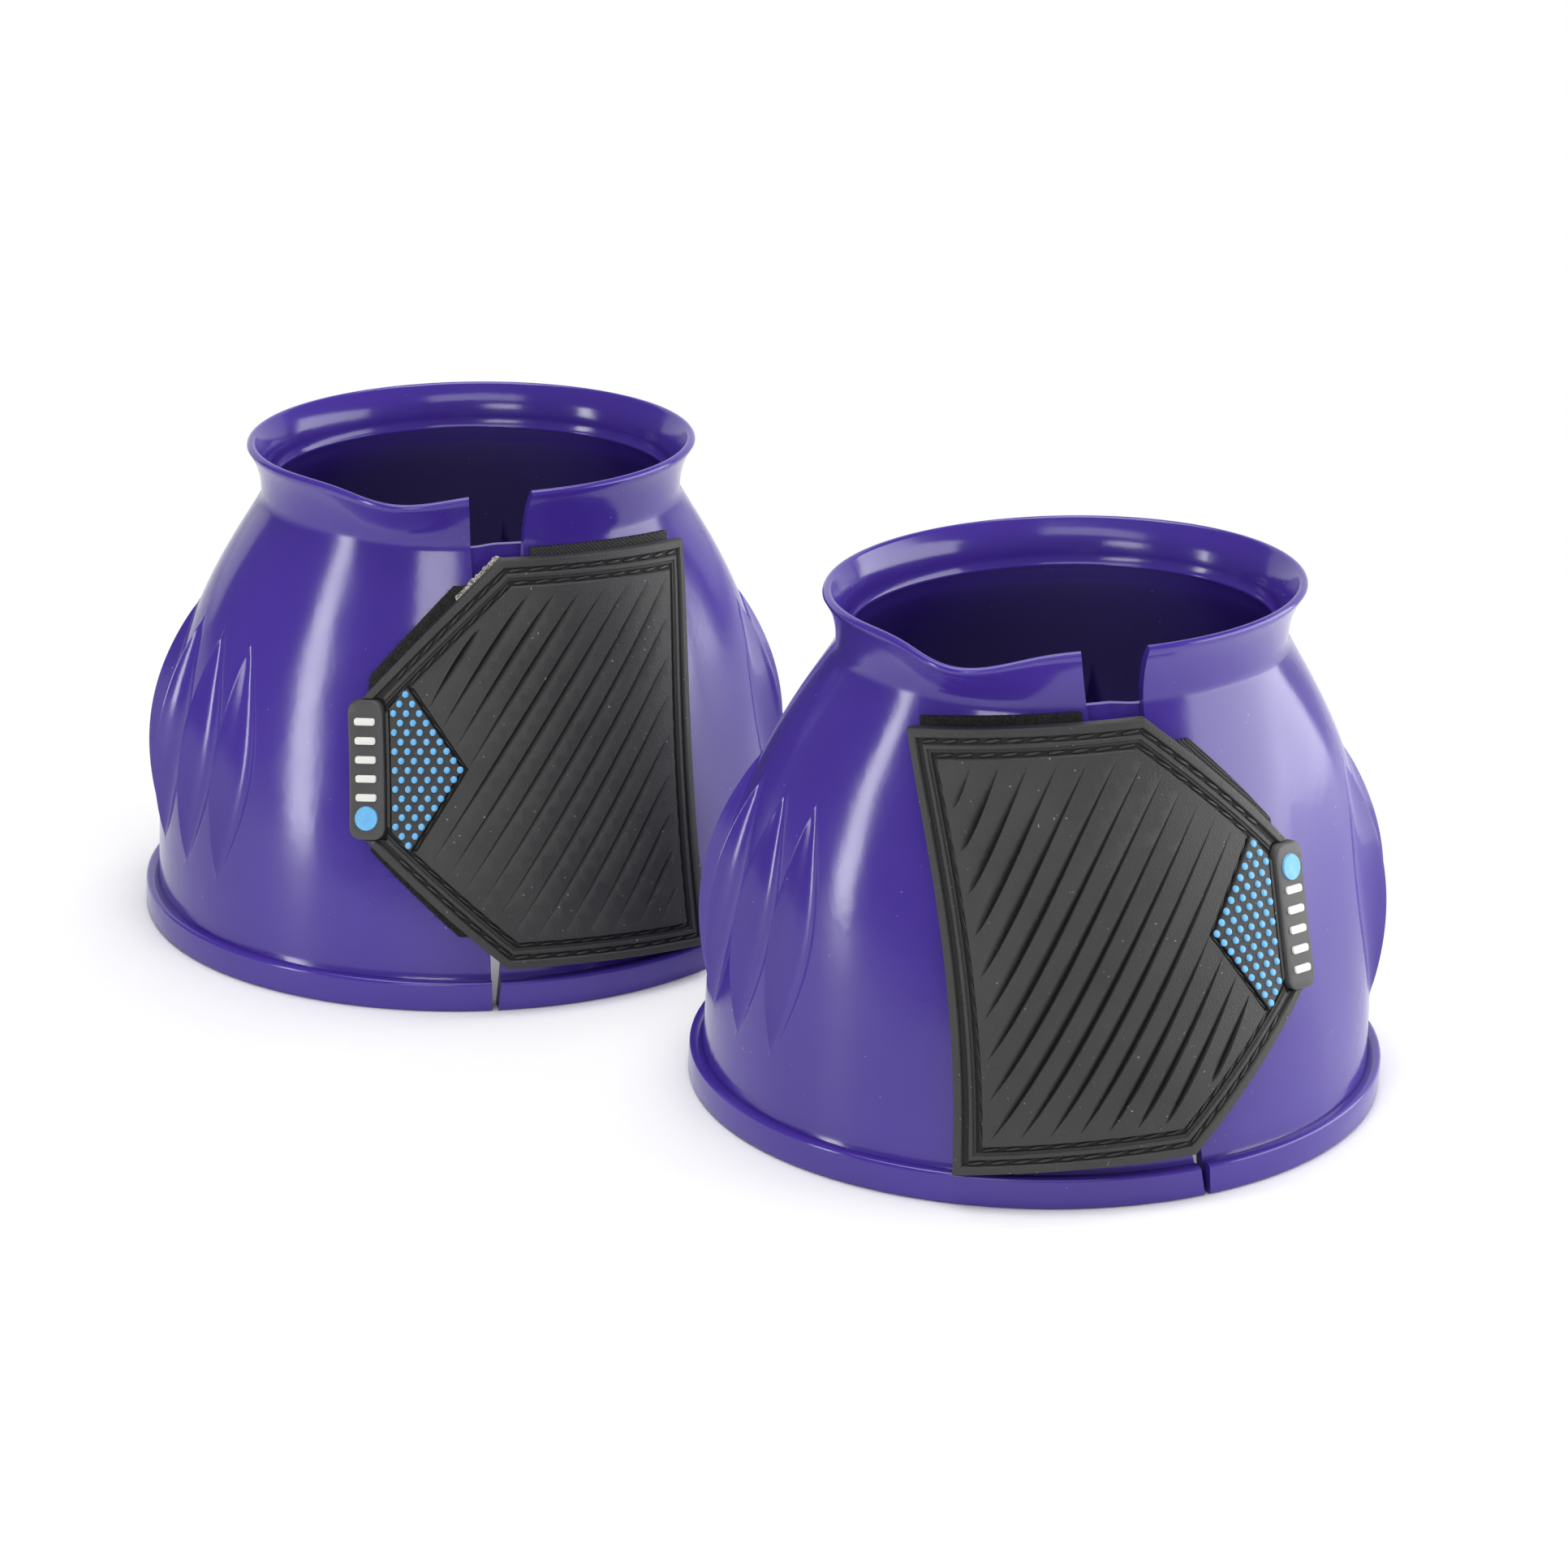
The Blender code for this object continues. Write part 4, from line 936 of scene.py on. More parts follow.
# %% Stitches
STITCH_PITCH = 0.0047
STITCH_LENGTH = 0.0041
STITCH_TURN = math.radians(7)
STITCH_RISE = 0.2
STITCHES_END_U = INLAY_SHOULDER_U + 0.0035
OUTER_ROW = (0.00275, FLAP_THICKNESS - 0.0008, 0.00085)  # inset, floor and thread
INNER_ROW = (0.00585, FLAP_THICKNESS - 0.0009, 0.0007)
HINGE_ROW = (INNER_ROW[0] + 0.0004, INNER_ROW[1], 0.0005)
INLAY_THREAD = 0.0006
LOOSE_SIDES = (0, 1, 3, 4)
HINGE_SIDE = 5
thread = new_finish("black_thread", (0.020, 0.020, 0.021), 0.42)[0]


def add_stitches(mesh, start, end, floor, thick):
    run = end - start
    count = int(run.length / STITCH_PITCH)
    for number in range(count):
        share = (number + 0.5) / count
        place = start + run * share
        if place.x > STITCHES_END_U:
            continue
        made = bmesh.ops.create_icosphere(mesh, subdivisions=2, radius=0.5)
        turn = math.atan2(run.y, run.x) + STITCH_TURN
        matrix = (Matrix.Translation((place.x, place.y, floor + thick * STITCH_RISE))
                  @ Matrix.Rotation(turn, 4, "Z")
                  @ Matrix.Diagonal((STITCH_LENGTH, thick, thick, 1)))
        bmesh.ops.transform(mesh, matrix=matrix, verts=made["verts"])


def sew_sides(mesh, row, sides):
    inset, floor, thick = row
    corners = [Vector(point) for point in flap_outline(inset)]
    for side in sides:
        add_stitches(mesh, corners[side], corners[(side + 1) % len(corners)], floor, thick)


def sew_round_inlay(mesh):
    channel = [Vector(point) for point in inlay_channel_outline()[2:]]
    middle = Vector((INLAY_CHANNEL / 2, 0))
    for start, end in zip(channel, channel[1:]):
        add_stitches(mesh, start + middle, end + middle, FLAP_THICKNESS - INLAY_CHANNEL_DEPTH,
                     INLAY_THREAD)


for boot in BOOTS:
    mesh = bmesh.new()
    sew_sides(mesh, OUTER_ROW, LOOSE_SIDES)
    sew_sides(mesh, INNER_ROW, LOOSE_SIDES)
    sew_round_inlay(mesh)
    sew_sides(mesh, HINGE_ROW, (HINGE_SIDE,))
    turn_for_hand(boot, mesh)
    lay(boot, mesh, FLAP_LAYER)
    new_piece(boot, "flap_stitches", mesh, thread, "closure")

# %% [markdown]
# The dotted inlay.  It is a thin plate let into the flap, with light-blue studs moulded on it in
# staggered rows.  Painted dots would do from far off, but the real ones stand up and catch
# light on their rims.  Each is a low cone with its rim bevelled.

# %% Light-blue rubber
DOT_BLUES = ((0.115, 0.395, 0.720), (0.150, 0.470, 0.800))
blue, tree, shader = new_finish("light_blue_rubber", (0.130, 0.430, 0.760), 0.45)
patches = mottle(tree, object_place(tree), 700.0, 2.0)
feed(shader, "Base Color", blend_colours(tree, patches.ramp(0.3, 0.7), *DOT_BLUES))
print("light-blue rubber nodes:", len(tree.nodes))

# %% Inlay and its dots
INLAY_EDGE = 0.0002
DOT_PITCH_U = 0.0033
DOT_PITCH_W = 0.00230
DOT_FIRST = 0.0011
DOT_COLUMNS = 8
DOT_RADIUS = 0.00085
DOT_TAPER = 0.86
DOT_HEIGHT = 0.0006
DOT_MARGIN = 0.0003
DOT_SIDES = 14
SHEET_SHARP = 40


def inside_outline(outline, u, w, margin):
    corners = [Vector(point) for point in outline]
    for corner, following in zip(corners, corners[1:] + corners[:1]):
        edge = following - corner
        inward = Vector((-edge.y, edge.x)).normalized()
        if inward.dot(Vector((u, w)) - corner) < margin:
            return False
    return True


def dot_places():
    rows = int(INLAY_SHOULDER_HALF / DOT_PITCH_W)
    for row in range(-rows, rows + 1):
        stagger = (row % 2) / 2
        for column in range(DOT_COLUMNS):
            u = INLAY_END_U - DOT_FIRST - (column + stagger) * DOT_PITCH_U
            w = FLAP_MIDDLE_W + row * DOT_PITCH_W
            if inside_outline(inlay_outline(), u, w, DOT_MARGIN):
                yield u, w


def moulded_dots():
    dots = bmesh.new()
    for u, w in dot_places():
        made = bmesh.ops.create_cone(dots, cap_ends=True, segments=DOT_SIDES,
                                     radius1=DOT_RADIUS, radius2=DOT_RADIUS * DOT_TAPER,
                                     depth=DOT_HEIGHT)
        bmesh.ops.translate(dots, verts=made["verts"], vec=(u, w, DOT_HEIGHT * 0.4))
    rims = [edge for edge in dots.edges
            if all(vert.co.z > DOT_HEIGHT * 0.5 for vert in edge.verts)]
    bmesh.ops.bevel(dots, geom=rims, offset=DOT_RADIUS * 0.3, segments=2, affect="EDGES",
                    profile=0.5, material=-1)
    return dots


for boot in BOOTS:
    mesh = flat_plate(inlay_outline(), INLAY_THICKNESS, INLAY_EDGE)
    slice_sheet(mesh)
    lay(boot, mesh, FLAP_LAYER + FLAP_THICKNESS - INLAY_THICKNESS)
    new_piece(boot, "inlay", mesh, rubber, "closure", ("dot_inlay",),
              MOULDING_SHARP)
    dots = moulded_dots()
    turn_for_hand(boot, dots)
    lay(boot, dots, FLAP_LAYER + FLAP_THICKNESS)
    new_piece(boot, "inlay_dots", dots, blue, "closure", (), SHEET_SHARP)

# %% [markdown]
# The pull tab.  It is a thicker rounded plate on the thin end of the flap, for the fingers, with
# plain raised grip bars and a plain disc on it.  All could be one mesh with several materials,
# but each colour is a moulding of its own, and so is a piece here.

# %% Tab finishes
TAB_GREYS = ((0.042, 0.042, 0.044), (0.056, 0.056, 0.057))
tab_rubber, tree, shader = new_finish("grey_tab_rubber", (0.048, 0.048, 0.050), 0.48)
place = object_place(tree)
grain = mottle(tree, place, 2600.0, 2.0)
worn = mottle(tree, place, 90.0, 3.0)
feed(shader, "Base Color", blend_colours(tree, worn.ramp(0.3, 0.7), *TAB_GREYS))
raise_bumps(shader, (grain, 0.00004))
print("grey tab rubber nodes:", len(tree.nodes))
white = new_finish("white_rubber", (0.72, 0.72, 0.68), 0.45)[0]

# %% Pull tabs
TAB_CORNER = 0.0030
TAB_CORNER_STEPS = 8
TAB_EDGE = 0.0006
BAR_COUNT = 5
BAR_PITCH = 0.0046
BAR_SIZE = (0.0054, 0.0017)
BAR_CORNER = 0.0006
BAR_CORNER_STEPS = 4
BAR_EDGE = 0.0002
BARS_MIDDLE = -0.0028
DISC_RADIUS = 0.0030
DISC_PLACE = 0.0115
DISC_TAPER = 0.95
DISC_SIDES = 36
MARK_HEIGHT = 0.0006
TAB_MIDDLE_U = TAB_START_U + TAB_WIDTH / 2


def rounded_outline(low, high, radius, steps):
    outline = []
    centres = ((2, low[0], low[1]), (3, high[0], low[1]), (4, high[0], high[1]),
               (5, low[0], high[1]))
    for quarter, u, w in centres:
        u += radius if u == low[0] else -radius
        w += radius if w == low[1] else -radius
        for step in range(steps + 1):
            angle = (quarter + step / steps) * math.pi / 2
            outline.append((u + radius * math.cos(angle), w + radius * math.sin(angle)))
    return outline


def grip_bars():
    bars = bmesh.new()
    for number in range(BAR_COUNT):
        middle_w = FLAP_MIDDLE_W + BARS_MIDDLE + (number - (BAR_COUNT - 1) / 2) * BAR_PITCH
        low = (TAB_MIDDLE_U - BAR_SIZE[0] / 2, middle_w - BAR_SIZE[1] / 2)
        high = (TAB_MIDDLE_U + BAR_SIZE[0] / 2, middle_w + BAR_SIZE[1] / 2)
        bar = flat_plate(rounded_outline(low, high, BAR_CORNER, BAR_CORNER_STEPS),
                         MARK_HEIGHT + BAR_EDGE, BAR_EDGE, -BAR_EDGE)
        data = bpy.data.meshes.new("bar")
        bar.to_mesh(data)
        bar.free()
        bars.from_mesh(data)
        bpy.data.meshes.remove(data)
    return bars


def plain_disc():
    disc = bmesh.new()
    made = bmesh.ops.create_cone(disc, cap_ends=True, segments=DISC_SIDES, radius1=DISC_RADIUS,
                                 radius2=DISC_RADIUS * DISC_TAPER, depth=MARK_HEIGHT)
    bmesh.ops.translate(disc, verts=made["verts"],
                        vec=(TAB_MIDDLE_U, FLAP_MIDDLE_W + DISC_PLACE, MARK_HEIGHT * 0.4))
    return disc


for boot in BOOTS:
    low = (TAB_START_U, FLAP_MIDDLE_W - TAB_HALF_HEIGHT)
    high = (TAB_START_U + TAB_WIDTH, FLAP_MIDDLE_W + TAB_HALF_HEIGHT)
    mesh = flat_plate(rounded_outline(low, high, TAB_CORNER, TAB_CORNER_STEPS), TAB_THICKNESS,
                      TAB_EDGE)
    slice_sheet(mesh)
    lay(boot, mesh, FLAP_LAYER + TAB_SEAT + GAP)
    new_piece(boot, "tab", mesh, tab_rubber, "closure", ("pull_tab",),
              SHEET_SHARP)
    for label, mark, finish in (("tab_bars", grip_bars(), white),
                                ("tab_disc", plain_disc(), blue)):
        turn_for_hand(boot, mark)
        slice_sheet(mark)
        lay(boot, mark, FLAP_LAYER + TAB_SEAT + GAP + TAB_THICKNESS)
        new_piece(boot, label, mark, finish, "closure", (), SHEET_SHARP)

# %% [markdown]
# Hook and loop.  The pads are stiff woven tape, one kind brushed into loops and the other set
# with hooks.  Each hook and loop could be modelled, but there are thousands and they are finer
# than the camera sees.  So a tufted bump stands for the loops and a small even weave for the
# hooks.

# %% Hook and loop finishes
PILE_GREYS = ((0.006, 0.006, 0.007), (0.030, 0.030, 0.031))
HOOK_GREYS = ((0.008, 0.008, 0.009), (0.034, 0.034, 0.036))
HOOK_PITCH = 0.0009
pile, tree, shader = new_finish("black_loop_pile", (0.012, 0.012, 0.013), 0.95)
place = object_place(tree)
tufts = mottle(tree, place, 1800.0, 4.0)
clumps = mottle(tree, place, 350.0, 2.0)
feed(shader, "Base Color", blend_colours(tree, tufts.ramp(0.35, 0.75), *PILE_GREYS))
raise_bumps(shader, (clumps, 0.0003), (tufts, 0.0004))
print("loop pile nodes:", len(tree.nodes))

hooks, tree, shader = new_finish("black_hook_tape", (0.014, 0.014, 0.015), 0.7)
split = add_node(tree, "ShaderNodeSeparateXYZ", {}, {"Vector": object_place(tree)})
across_wave = (split[0] * (2 * math.pi / HOOK_PITCH)).math("SINE")
along_wave = (split[2] * (2 * math.pi / HOOK_PITCH)).math("SINE")
weave = (across_wave * along_wave) * 0.5 + 0.5
feed(shader, "Base Color", blend_colours(tree, weave.clamped(), *HOOK_GREYS))
raise_bumps(shader, (weave, 0.0003))
print("hook tape nodes:", len(tree.nodes))

# %% [markdown]
# The pads.  One is sewn on each side of the slit, and a lining is sewn inside the flap.  Bent
# boxes could stand for them, but they are cut from flat tape.  So each is an outline given by
# its two edges, extruded and laid on the wall like the flap.  One pad is loops and the other is
# hooks, and the left boot has them the other way round.

# %% Pads on the shell and the flap's lining
PAD_SIDE_INSET = 0.0010
PAD_SLIT_MARGIN = 0.0015
PAD_SLANT_PROUD = 0.0040
PAD_ROWS = 24
LINING_INSET = 0.0012
POINT_PAD_HALF_HEIGHT = FLAP_HALF_HEIGHT - 0.0072
HINGE_PAD_ROWS = (FLAP_FOOT_W + 0.0010, FLAP_TOP_W + 0.0016)
POINT_PAD_ROWS = (FLAP_MIDDLE_W - POINT_PAD_HALF_HEIGHT, FLAP_MIDDLE_W + POINT_PAD_HALF_HEIGHT)


def slant_u(w):
    """Where the flap's outline lies at a height, on the pull tab's side."""
    run_share = (FLAP_END_U - FLAP_CORNER_U) / (FLAP_HALF_HEIGHT - FLAP_END_HALF_HEIGHT)
    below_corner = FLAP_HALF_HEIGHT - abs(w - FLAP_MIDDLE_W)
    return min(FLAP_END_U, FLAP_CORNER_U + below_corner * run_share)


def hinge_pad_edges(boot):
    return (lambda w: FLAP_HINGE_U + PAD_SIDE_INSET,
            lambda w: slit_u(boot, w, -1) - PAD_SLIT_MARGIN)


def point_pad_edges(boot):
    return (lambda w: slit_u(boot, w, 1) + PAD_SLIT_MARGIN,
            lambda w: min(FLAP_END_U - PAD_SIDE_INSET, slant_u(w) + PAD_SLANT_PROUD))


def edged_outline(edges, low, high):
    left, right = edges
    rows = [low + (high - low) * step / PAD_ROWS for step in range(PAD_ROWS + 1)]
    return [(left(w), w) for w in reversed(rows)] + [(right(w), w) for w in rows]


for boot in BOOTS:
    kinds = ((pile, "black_loop_pile"), (hooks, "black_hook_tape"))
    (hinge_finish, hinge_slot), (point_finish, point_slot) = kinds[::boot.hand]
    for label, edges, rows, finish, slot in (
            ("hinge_side", hinge_pad_edges(boot), HINGE_PAD_ROWS, hinge_finish, hinge_slot),
            ("point_side", point_pad_edges(boot), POINT_PAD_ROWS, point_finish, point_slot)):
        mesh = flat_plate(edged_outline(edges, *rows), PAD_THICKNESS)
        slice_sheet(mesh)
        lay(boot, mesh, GAP)
        new_piece(boot, f"{label}_tape", mesh, finish, "boot", (f"{label}_pad",),
                  SHEET_SHARP)
    mesh = flat_plate(flap_outline(LINING_INSET), BACKING_THICKNESS)
    slice_sheet(mesh)
    lay(boot, mesh, 2 * GAP + PAD_THICKNESS)
    new_piece(boot, "flap_lining", mesh, point_finish, "closure",
              ("flap_backing",), SHEET_SHARP)

# %% [markdown]
# Brushed loops are fine fibres, and the rim of a loop pad that shows past the flap looks fuzzy.
# Blender's hair could grow them, but the export keeps only meshes.  So one three-sided fibre is
# made along z, with rings to bend it at, and copied to seeded random places.

# %% A fibre
FIBRE_RADIUS = 0.00005
FIBRE_TIP_SHARE = 0.4
FIBRE_RINGS = 4


def fibre_template():
    mesh = bmesh.new()
    bmesh.ops.create_cone(mesh, cap_ends=True, segments=3, radius1=FIBRE_RADIUS,
                          radius2=FIBRE_RADIUS * FIBRE_TIP_SHARE, depth=1)
    bmesh.ops.translate(mesh, verts=mesh.verts, vec=(0, 0, 0.5))
    for step in range(1, FIBRE_RINGS):
        geometry = list(mesh.verts) + list(mesh.edges) + list(mesh.faces)
        bmesh.ops.bisect_plane(mesh, geom=geometry, plane_co=(0, 0, step / FIBRE_RINGS),
                               plane_no=(0, 0, 1))
    data = bpy.data.meshes.new("fibre")
    mesh.to_mesh(data)
    mesh.free()
    return data


def add_fibre(mesh, template, root, heading, curl):
    mesh.from_mesh(template)
    mesh.verts.ensure_lookup_table()
    turn = heading.to_track_quat("Z", "Y")
    for vert in mesh.verts[-len(template.vertices):]:
        share = vert.co.z
        round_it = turn @ Vector((vert.co.x, vert.co.y, 0))
        vert.co = root + round_it + heading * share + curl * share * share


# %% Loose fibres on the loop pads
FIBRES_PER_SQUARE_MM = 5
FIBRE_SEED = 11
FIBRE_LENGTHS = (0.0005, 0.0017)
FIBRE_CURL = 0.0006
FIBRE_MARGIN = 0.0006


def pad_fibres(edges, rows):
    """Fibres where a pad shows past the flap, in a bmesh that is still flat."""
    left, right = edges
    picks = random.Random(FIBRE_SEED)
    template = fibre_template()
    low = min(left(w) for w in rows)
    high = max(right(FLAP_MIDDLE_W), right(rows[0]))
    count = int((high - low) * (rows[1] - rows[0]) * 1e6 * FIBRES_PER_SQUARE_MM)
    mesh = bmesh.new()
    for number in range(count):
        u = picks.uniform(low, high)
        w = picks.uniform(*rows)
        if not left(w) < u < right(w) or inside_outline(flap_outline(), u, w, FIBRE_MARGIN):
            continue
        spread = Vector((picks.gauss(0, 1), picks.gauss(0, 1), picks.uniform(0.3, 1.6)))
        heading = spread.normalized() * picks.uniform(*FIBRE_LENGTHS)
        curl = Vector((picks.gauss(0, 1), picks.gauss(0, 1), -0.4)) * FIBRE_CURL
        add_fibre(mesh, template, Vector((u, w, PAD_THICKNESS - GAP)), heading, curl)
    bpy.data.meshes.remove(template)
    return mesh


for boot, edges, rows, label in (
        (RIGHT, hinge_pad_edges(RIGHT), HINGE_PAD_ROWS, "hinge_side"),
        (LEFT, point_pad_edges(LEFT), POINT_PAD_ROWS, "point_side")):
    mesh = pad_fibres(edges, rows)
    lay(boot, mesh, GAP)
    new_piece(boot, f"{label}_fibres", mesh, pile, "boot")

# %% [markdown]
# On the left boot the lining is cut a little too large at the upper slant, and its pale inner
# cloth shows as a ragged edge.  A paler patch on the lining's material would need a mask in
# just that place.  A thin strip of its own, with a seeded ragged side, is simpler.

# %% The pale cut edge of the left flap's lining
CUT_EDGE_LENGTH = 0.0150
CUT_EDGE_PROUD = 0.0010
CUT_EDGE_STEPS = 30
CUT_EDGE_THREADS = ((0.10, 0.09, 0.08), (0.62, 0.58, 0.50))
cut_cloth, tree, shader = new_finish("cream_cut_edge", (0.42, 0.39, 0.32), 0.9)
threads = mottle(tree, object_place(tree), 2500.0, 2.0)
feed(shader, "Base Color", blend_colours(tree, threads.ramp(0.4, 0.6), *CUT_EDGE_THREADS))
raise_bumps(shader, (threads, 0.0002))
print("cream cut edge nodes:", len(tree.nodes))


def cut_edge_outline():
    picks = random.Random(FIBRE_SEED)
    corner = Vector((FLAP_CORNER_U, FLAP_TOP_W))
    along = (Vector((FLAP_END_U, FLAP_MIDDLE_W + FLAP_END_HALF_HEIGHT)) - corner).normalized()
    outwards = Vector((-along.y, along.x))
    outer = []
    for step in range(CUT_EDGE_STEPS + 1):
        share = step / CUT_EDGE_STEPS
        proud = CUT_EDGE_PROUD * (picks.uniform(0.6, 1.1) if 0 < step < CUT_EDGE_STEPS else 0)
        outer.append(corner + along * CUT_EDGE_LENGTH * share + outwards * proud)
    inner = [corner - outwards * CUT_EDGE_PROUD,
             corner + along * CUT_EDGE_LENGTH - outwards * CUT_EDGE_PROUD]
    return [tuple(point) for point in inner + outer[::-1]]


mesh = flat_plate(cut_edge_outline(), GAP * 2)
slice_sheet(mesh)
lay(LEFT, mesh, FLAP_LAYER - 3 * GAP)
new_piece(LEFT, "lining_cut_edge", mesh, cut_cloth, "closure", (),
          SHEET_SHARP)

# %% [markdown]
# The tongue.  A leaf of thinner PVC lies behind the slit, sewn to one side of it and closed by a
# hook pad on a loop pad at the other.  It could be cut flat like the flap, but it has to step
# inwards over its pads.  A grid that is extruded and then laid at a distance which changes
# along it gives that step.

# %% Tongue helpers
TONGUE_THICKNESS = 0.0018
TONGUE_PAD_THICKNESS = 0.0009
TONGUE_FREE_REACH = 0.0240
TONGUE_SEWN_REACH = 0.0260
TONGUE_ROWS = (FLANGE_HEIGHT + 0.0050, BOOT_HEIGHT - 0.0160)
TONGUE_STEP = (0.0070, -0.0010)
TONGUE_PAD_MARGIN = 0.0030
TONGUE_COLUMNS = 40
PAD_COLUMNS = 24
STRIP_LINES = 30
INNER_LAYER = -SHELL_WALL - GAP - PAD_THICKNESS


def tongue_layer(boot, u, w):
    from_slit = u - slit_u(boot, w, 0)
    stepped = smooth((TONGUE_STEP[0] - from_slit) / (TONGUE_STEP[0] - TONGUE_STEP[1]))
    step_in = PAD_THICKNESS + TONGUE_PAD_THICKNESS + 2 * GAP
    return -SHELL_WALL - GAP - TONGUE_THICKNESS - step_in * stepped


def laid_strip(boot, edges, rows, layer, thickness, columns=PAD_COLUMNS):
    """A leaf between two edges, given as u for each w."""
    left, right = edges
    mesh = bmesh.new()
    bmesh.ops.create_grid(mesh, x_segments=columns, y_segments=STRIP_LINES, size=1)
    top = bmesh.ops.extrude_face_region(mesh, geom=list(mesh.faces))["geom"]
    raised = {item for item in top if isinstance(item, bmesh.types.BMVert)}
    for vert in mesh.verts:
        w = rows[0] + (rows[1] - rows[0]) * (vert.co.y + 1) / 2
        u = left(w) + (right(w) - left(w)) * (vert.co.x + 1) / 2
        vert.co = laid_point(boot, u, w, layer(u, w) + (thickness if vert in raised else 0))
    bmesh.ops.recalc_face_normals(mesh, faces=mesh.faces)
    return mesh


# %% Tongue, its pad and the loop pad that it closes on
for boot in BOOTS:
    free = lambda w: slit_u(boot, w, 0) - TONGUE_FREE_REACH
    sewn = lambda w: slit_u(boot, w, 0) + TONGUE_SEWN_REACH
    by_slit = lambda w: slit_u(boot, w, -1) - PAD_SLIT_MARGIN
    mesh = laid_strip(boot, (free, sewn), TONGUE_ROWS, lambda u, w: tongue_layer(boot, u, w),
                      TONGUE_THICKNESS, TONGUE_COLUMNS)
    new_piece(boot, "leaf", mesh, pvc, "inner_leaf", ("tongue",), SHEET_SHARP)
    rows = (TONGUE_ROWS[0] + TONGUE_PAD_MARGIN, TONGUE_ROWS[1] - TONGUE_PAD_MARGIN)
    mesh = laid_strip(boot, (lambda w: free(w) + TONGUE_PAD_MARGIN, by_slit), rows,
                      lambda u, w: INNER_LAYER - GAP - TONGUE_PAD_THICKNESS,
                      TONGUE_PAD_THICKNESS)
    new_piece(boot, "leaf_hooks", mesh, hooks, "inner_leaf",
              ("tongue_hook_pad",), SHEET_SHARP)
    rows = (TONGUE_ROWS[0] + PAD_SIDE_INSET, TONGUE_ROWS[1] - PAD_SIDE_INSET)
    mesh = laid_strip(boot, (lambda w: free(w) - PAD_SIDE_INSET, by_slit), rows,
                      lambda u, w: INNER_LAYER, PAD_THICKNESS)
    new_piece(boot, "inner_loops", mesh, pile, "boot", ("inner_loop_pad",),
              SHEET_SHARP)

# %% [markdown]
# The camera looks along +Y from a little above, through a long lens, as for a shop picture.  A
# short lens close by would show the same things, but it would swell the nearer boot.

# %% Camera
CAMERA_PLACE = Vector((0.0111, -1.3095, 0.5361))
CAMERA_PITCH = 0.3536
CAMERA_ROLL = 0.0072
IMAGE_SIDE = 1932
FOCAL_PIXELS = 6780
SENSOR = 36.0

camera_data = bpy.data.cameras.new("camera")
camera_data.sensor_width = SENSOR
camera_data.lens = SENSOR * FOCAL_PIXELS / IMAGE_SIDE
camera = bpy.data.objects.new("camera", camera_data)
bpy.context.scene.collection.objects.link(camera)
camera.matrix_world = (Matrix.Translation(CAMERA_PLACE)
                       @ Matrix.Rotation(math.pi / 2 - CAMERA_PITCH, 4, "X")
                       @ Matrix.Rotation(CAMERA_ROLL, 4, "Z"))
bpy.context.scene.camera = camera
print("lens, mm:", round(camera_data.lens, 1))

# %% [markdown]
# The stage is a plain pale floor in front of a plain pale backdrop.  Brighter lamps would turn it
# white, but they would bleach the boots.  So the camera sees it partly lit by itself, the more so
# the further it is from the boots, and their soft shadows stay.  Inside the bells the floor is
# painted darker for the light that bounces off it: painted shade, standing in for the shade under
# a real boot that stands close to it.

# %% White that lights itself for the camera
STAGE_WHITE = (0.88, 0.88, 0.88)
STAGE_ROUGHNESS = 0.6
GLOW_START = 0.088
GLOW_NEAR = 0.130
GLOW_FAR = 0.450
NEAR_SHARE = 0.35
INSIDE_SHARE = 0.30
INSIDE_EDGE = (0.080, 0.084)


def nearest_boot(tree, place, low, high):
    """0 within a distance of either boot's middle and 1 beyond another, with a slope between."""
    least = None
    for boot in BOOTS:
        away = named_output(tree, "ShaderNodeVectorMath", {"operation": "DISTANCE"},
                            {0: place, 1: tuple(boot.place)}, "Value")
        away = away.ramp(low, high)
        least = away if least is None else least.math("MINIMUM", away)
    return least


def glowing_white(name, share_of, glossy):
    """White that the camera sees partly lit by itself, so that the background stays white."""
    finish, tree, shader = new_finish(name, STAGE_WHITE, STAGE_ROUGHNESS)
    seen = {wire.socket.name: wire for wire in add_node(tree, "ShaderNodeLightPath", {}, {})}
    seen_at_once = seen["Is Camera Ray"].math("MAXIMUM", seen["Is Transmission Ray"])
    if glossy:
        seen_at_once = seen_at_once.math("MAXIMUM", seen["Is Glossy Ray"])
    glow = add_node(tree, "ShaderNodeEmission", {}, {"Color": (1, 1, 1, 1), "Strength": 1.0})[0]
    place = object_place(tree)
    mixed = add_node(tree, "ShaderNodeMixShader", {},
                     {0: seen_at_once * share_of(tree, place), 1: Wire(tree, shader.outputs[0]),
                      2: glow})[0]
    feed(tree.nodes["Material Output"], "Surface", mixed)
    return finish, tree, shader, place


def floor_share(tree, place):
    near = nearest_boot(tree, place, GLOW_START, GLOW_NEAR)
    far = nearest_boot(tree, place, GLOW_NEAR, GLOW_FAR)
    return near * NEAR_SHARE + far * (1 - NEAR_SHARE)


def backdrop_share(tree, place):
    return nearest_boot(tree, place, GLOW_START, GLOW_NEAR)


# %% Floor and backdrop
def stage_plane(name, finish, matrix):
    mesh = bmesh.new()
    bmesh.ops.create_grid(mesh, x_segments=1, y_segments=1, size=1, matrix=matrix)
    data = bpy.data.meshes.new(name)
    mesh.to_mesh(data)
    mesh.free()
    made = bpy.data.objects.new(name, data)
    data.materials.append(finish)
    bpy.context.scene.collection.objects.link(made)
    made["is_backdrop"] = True
    print(name, "across, m:", round(made.dimensions.x, 1))


floor_finish, tree, shader, place = glowing_white("floor_white", floor_share, False)
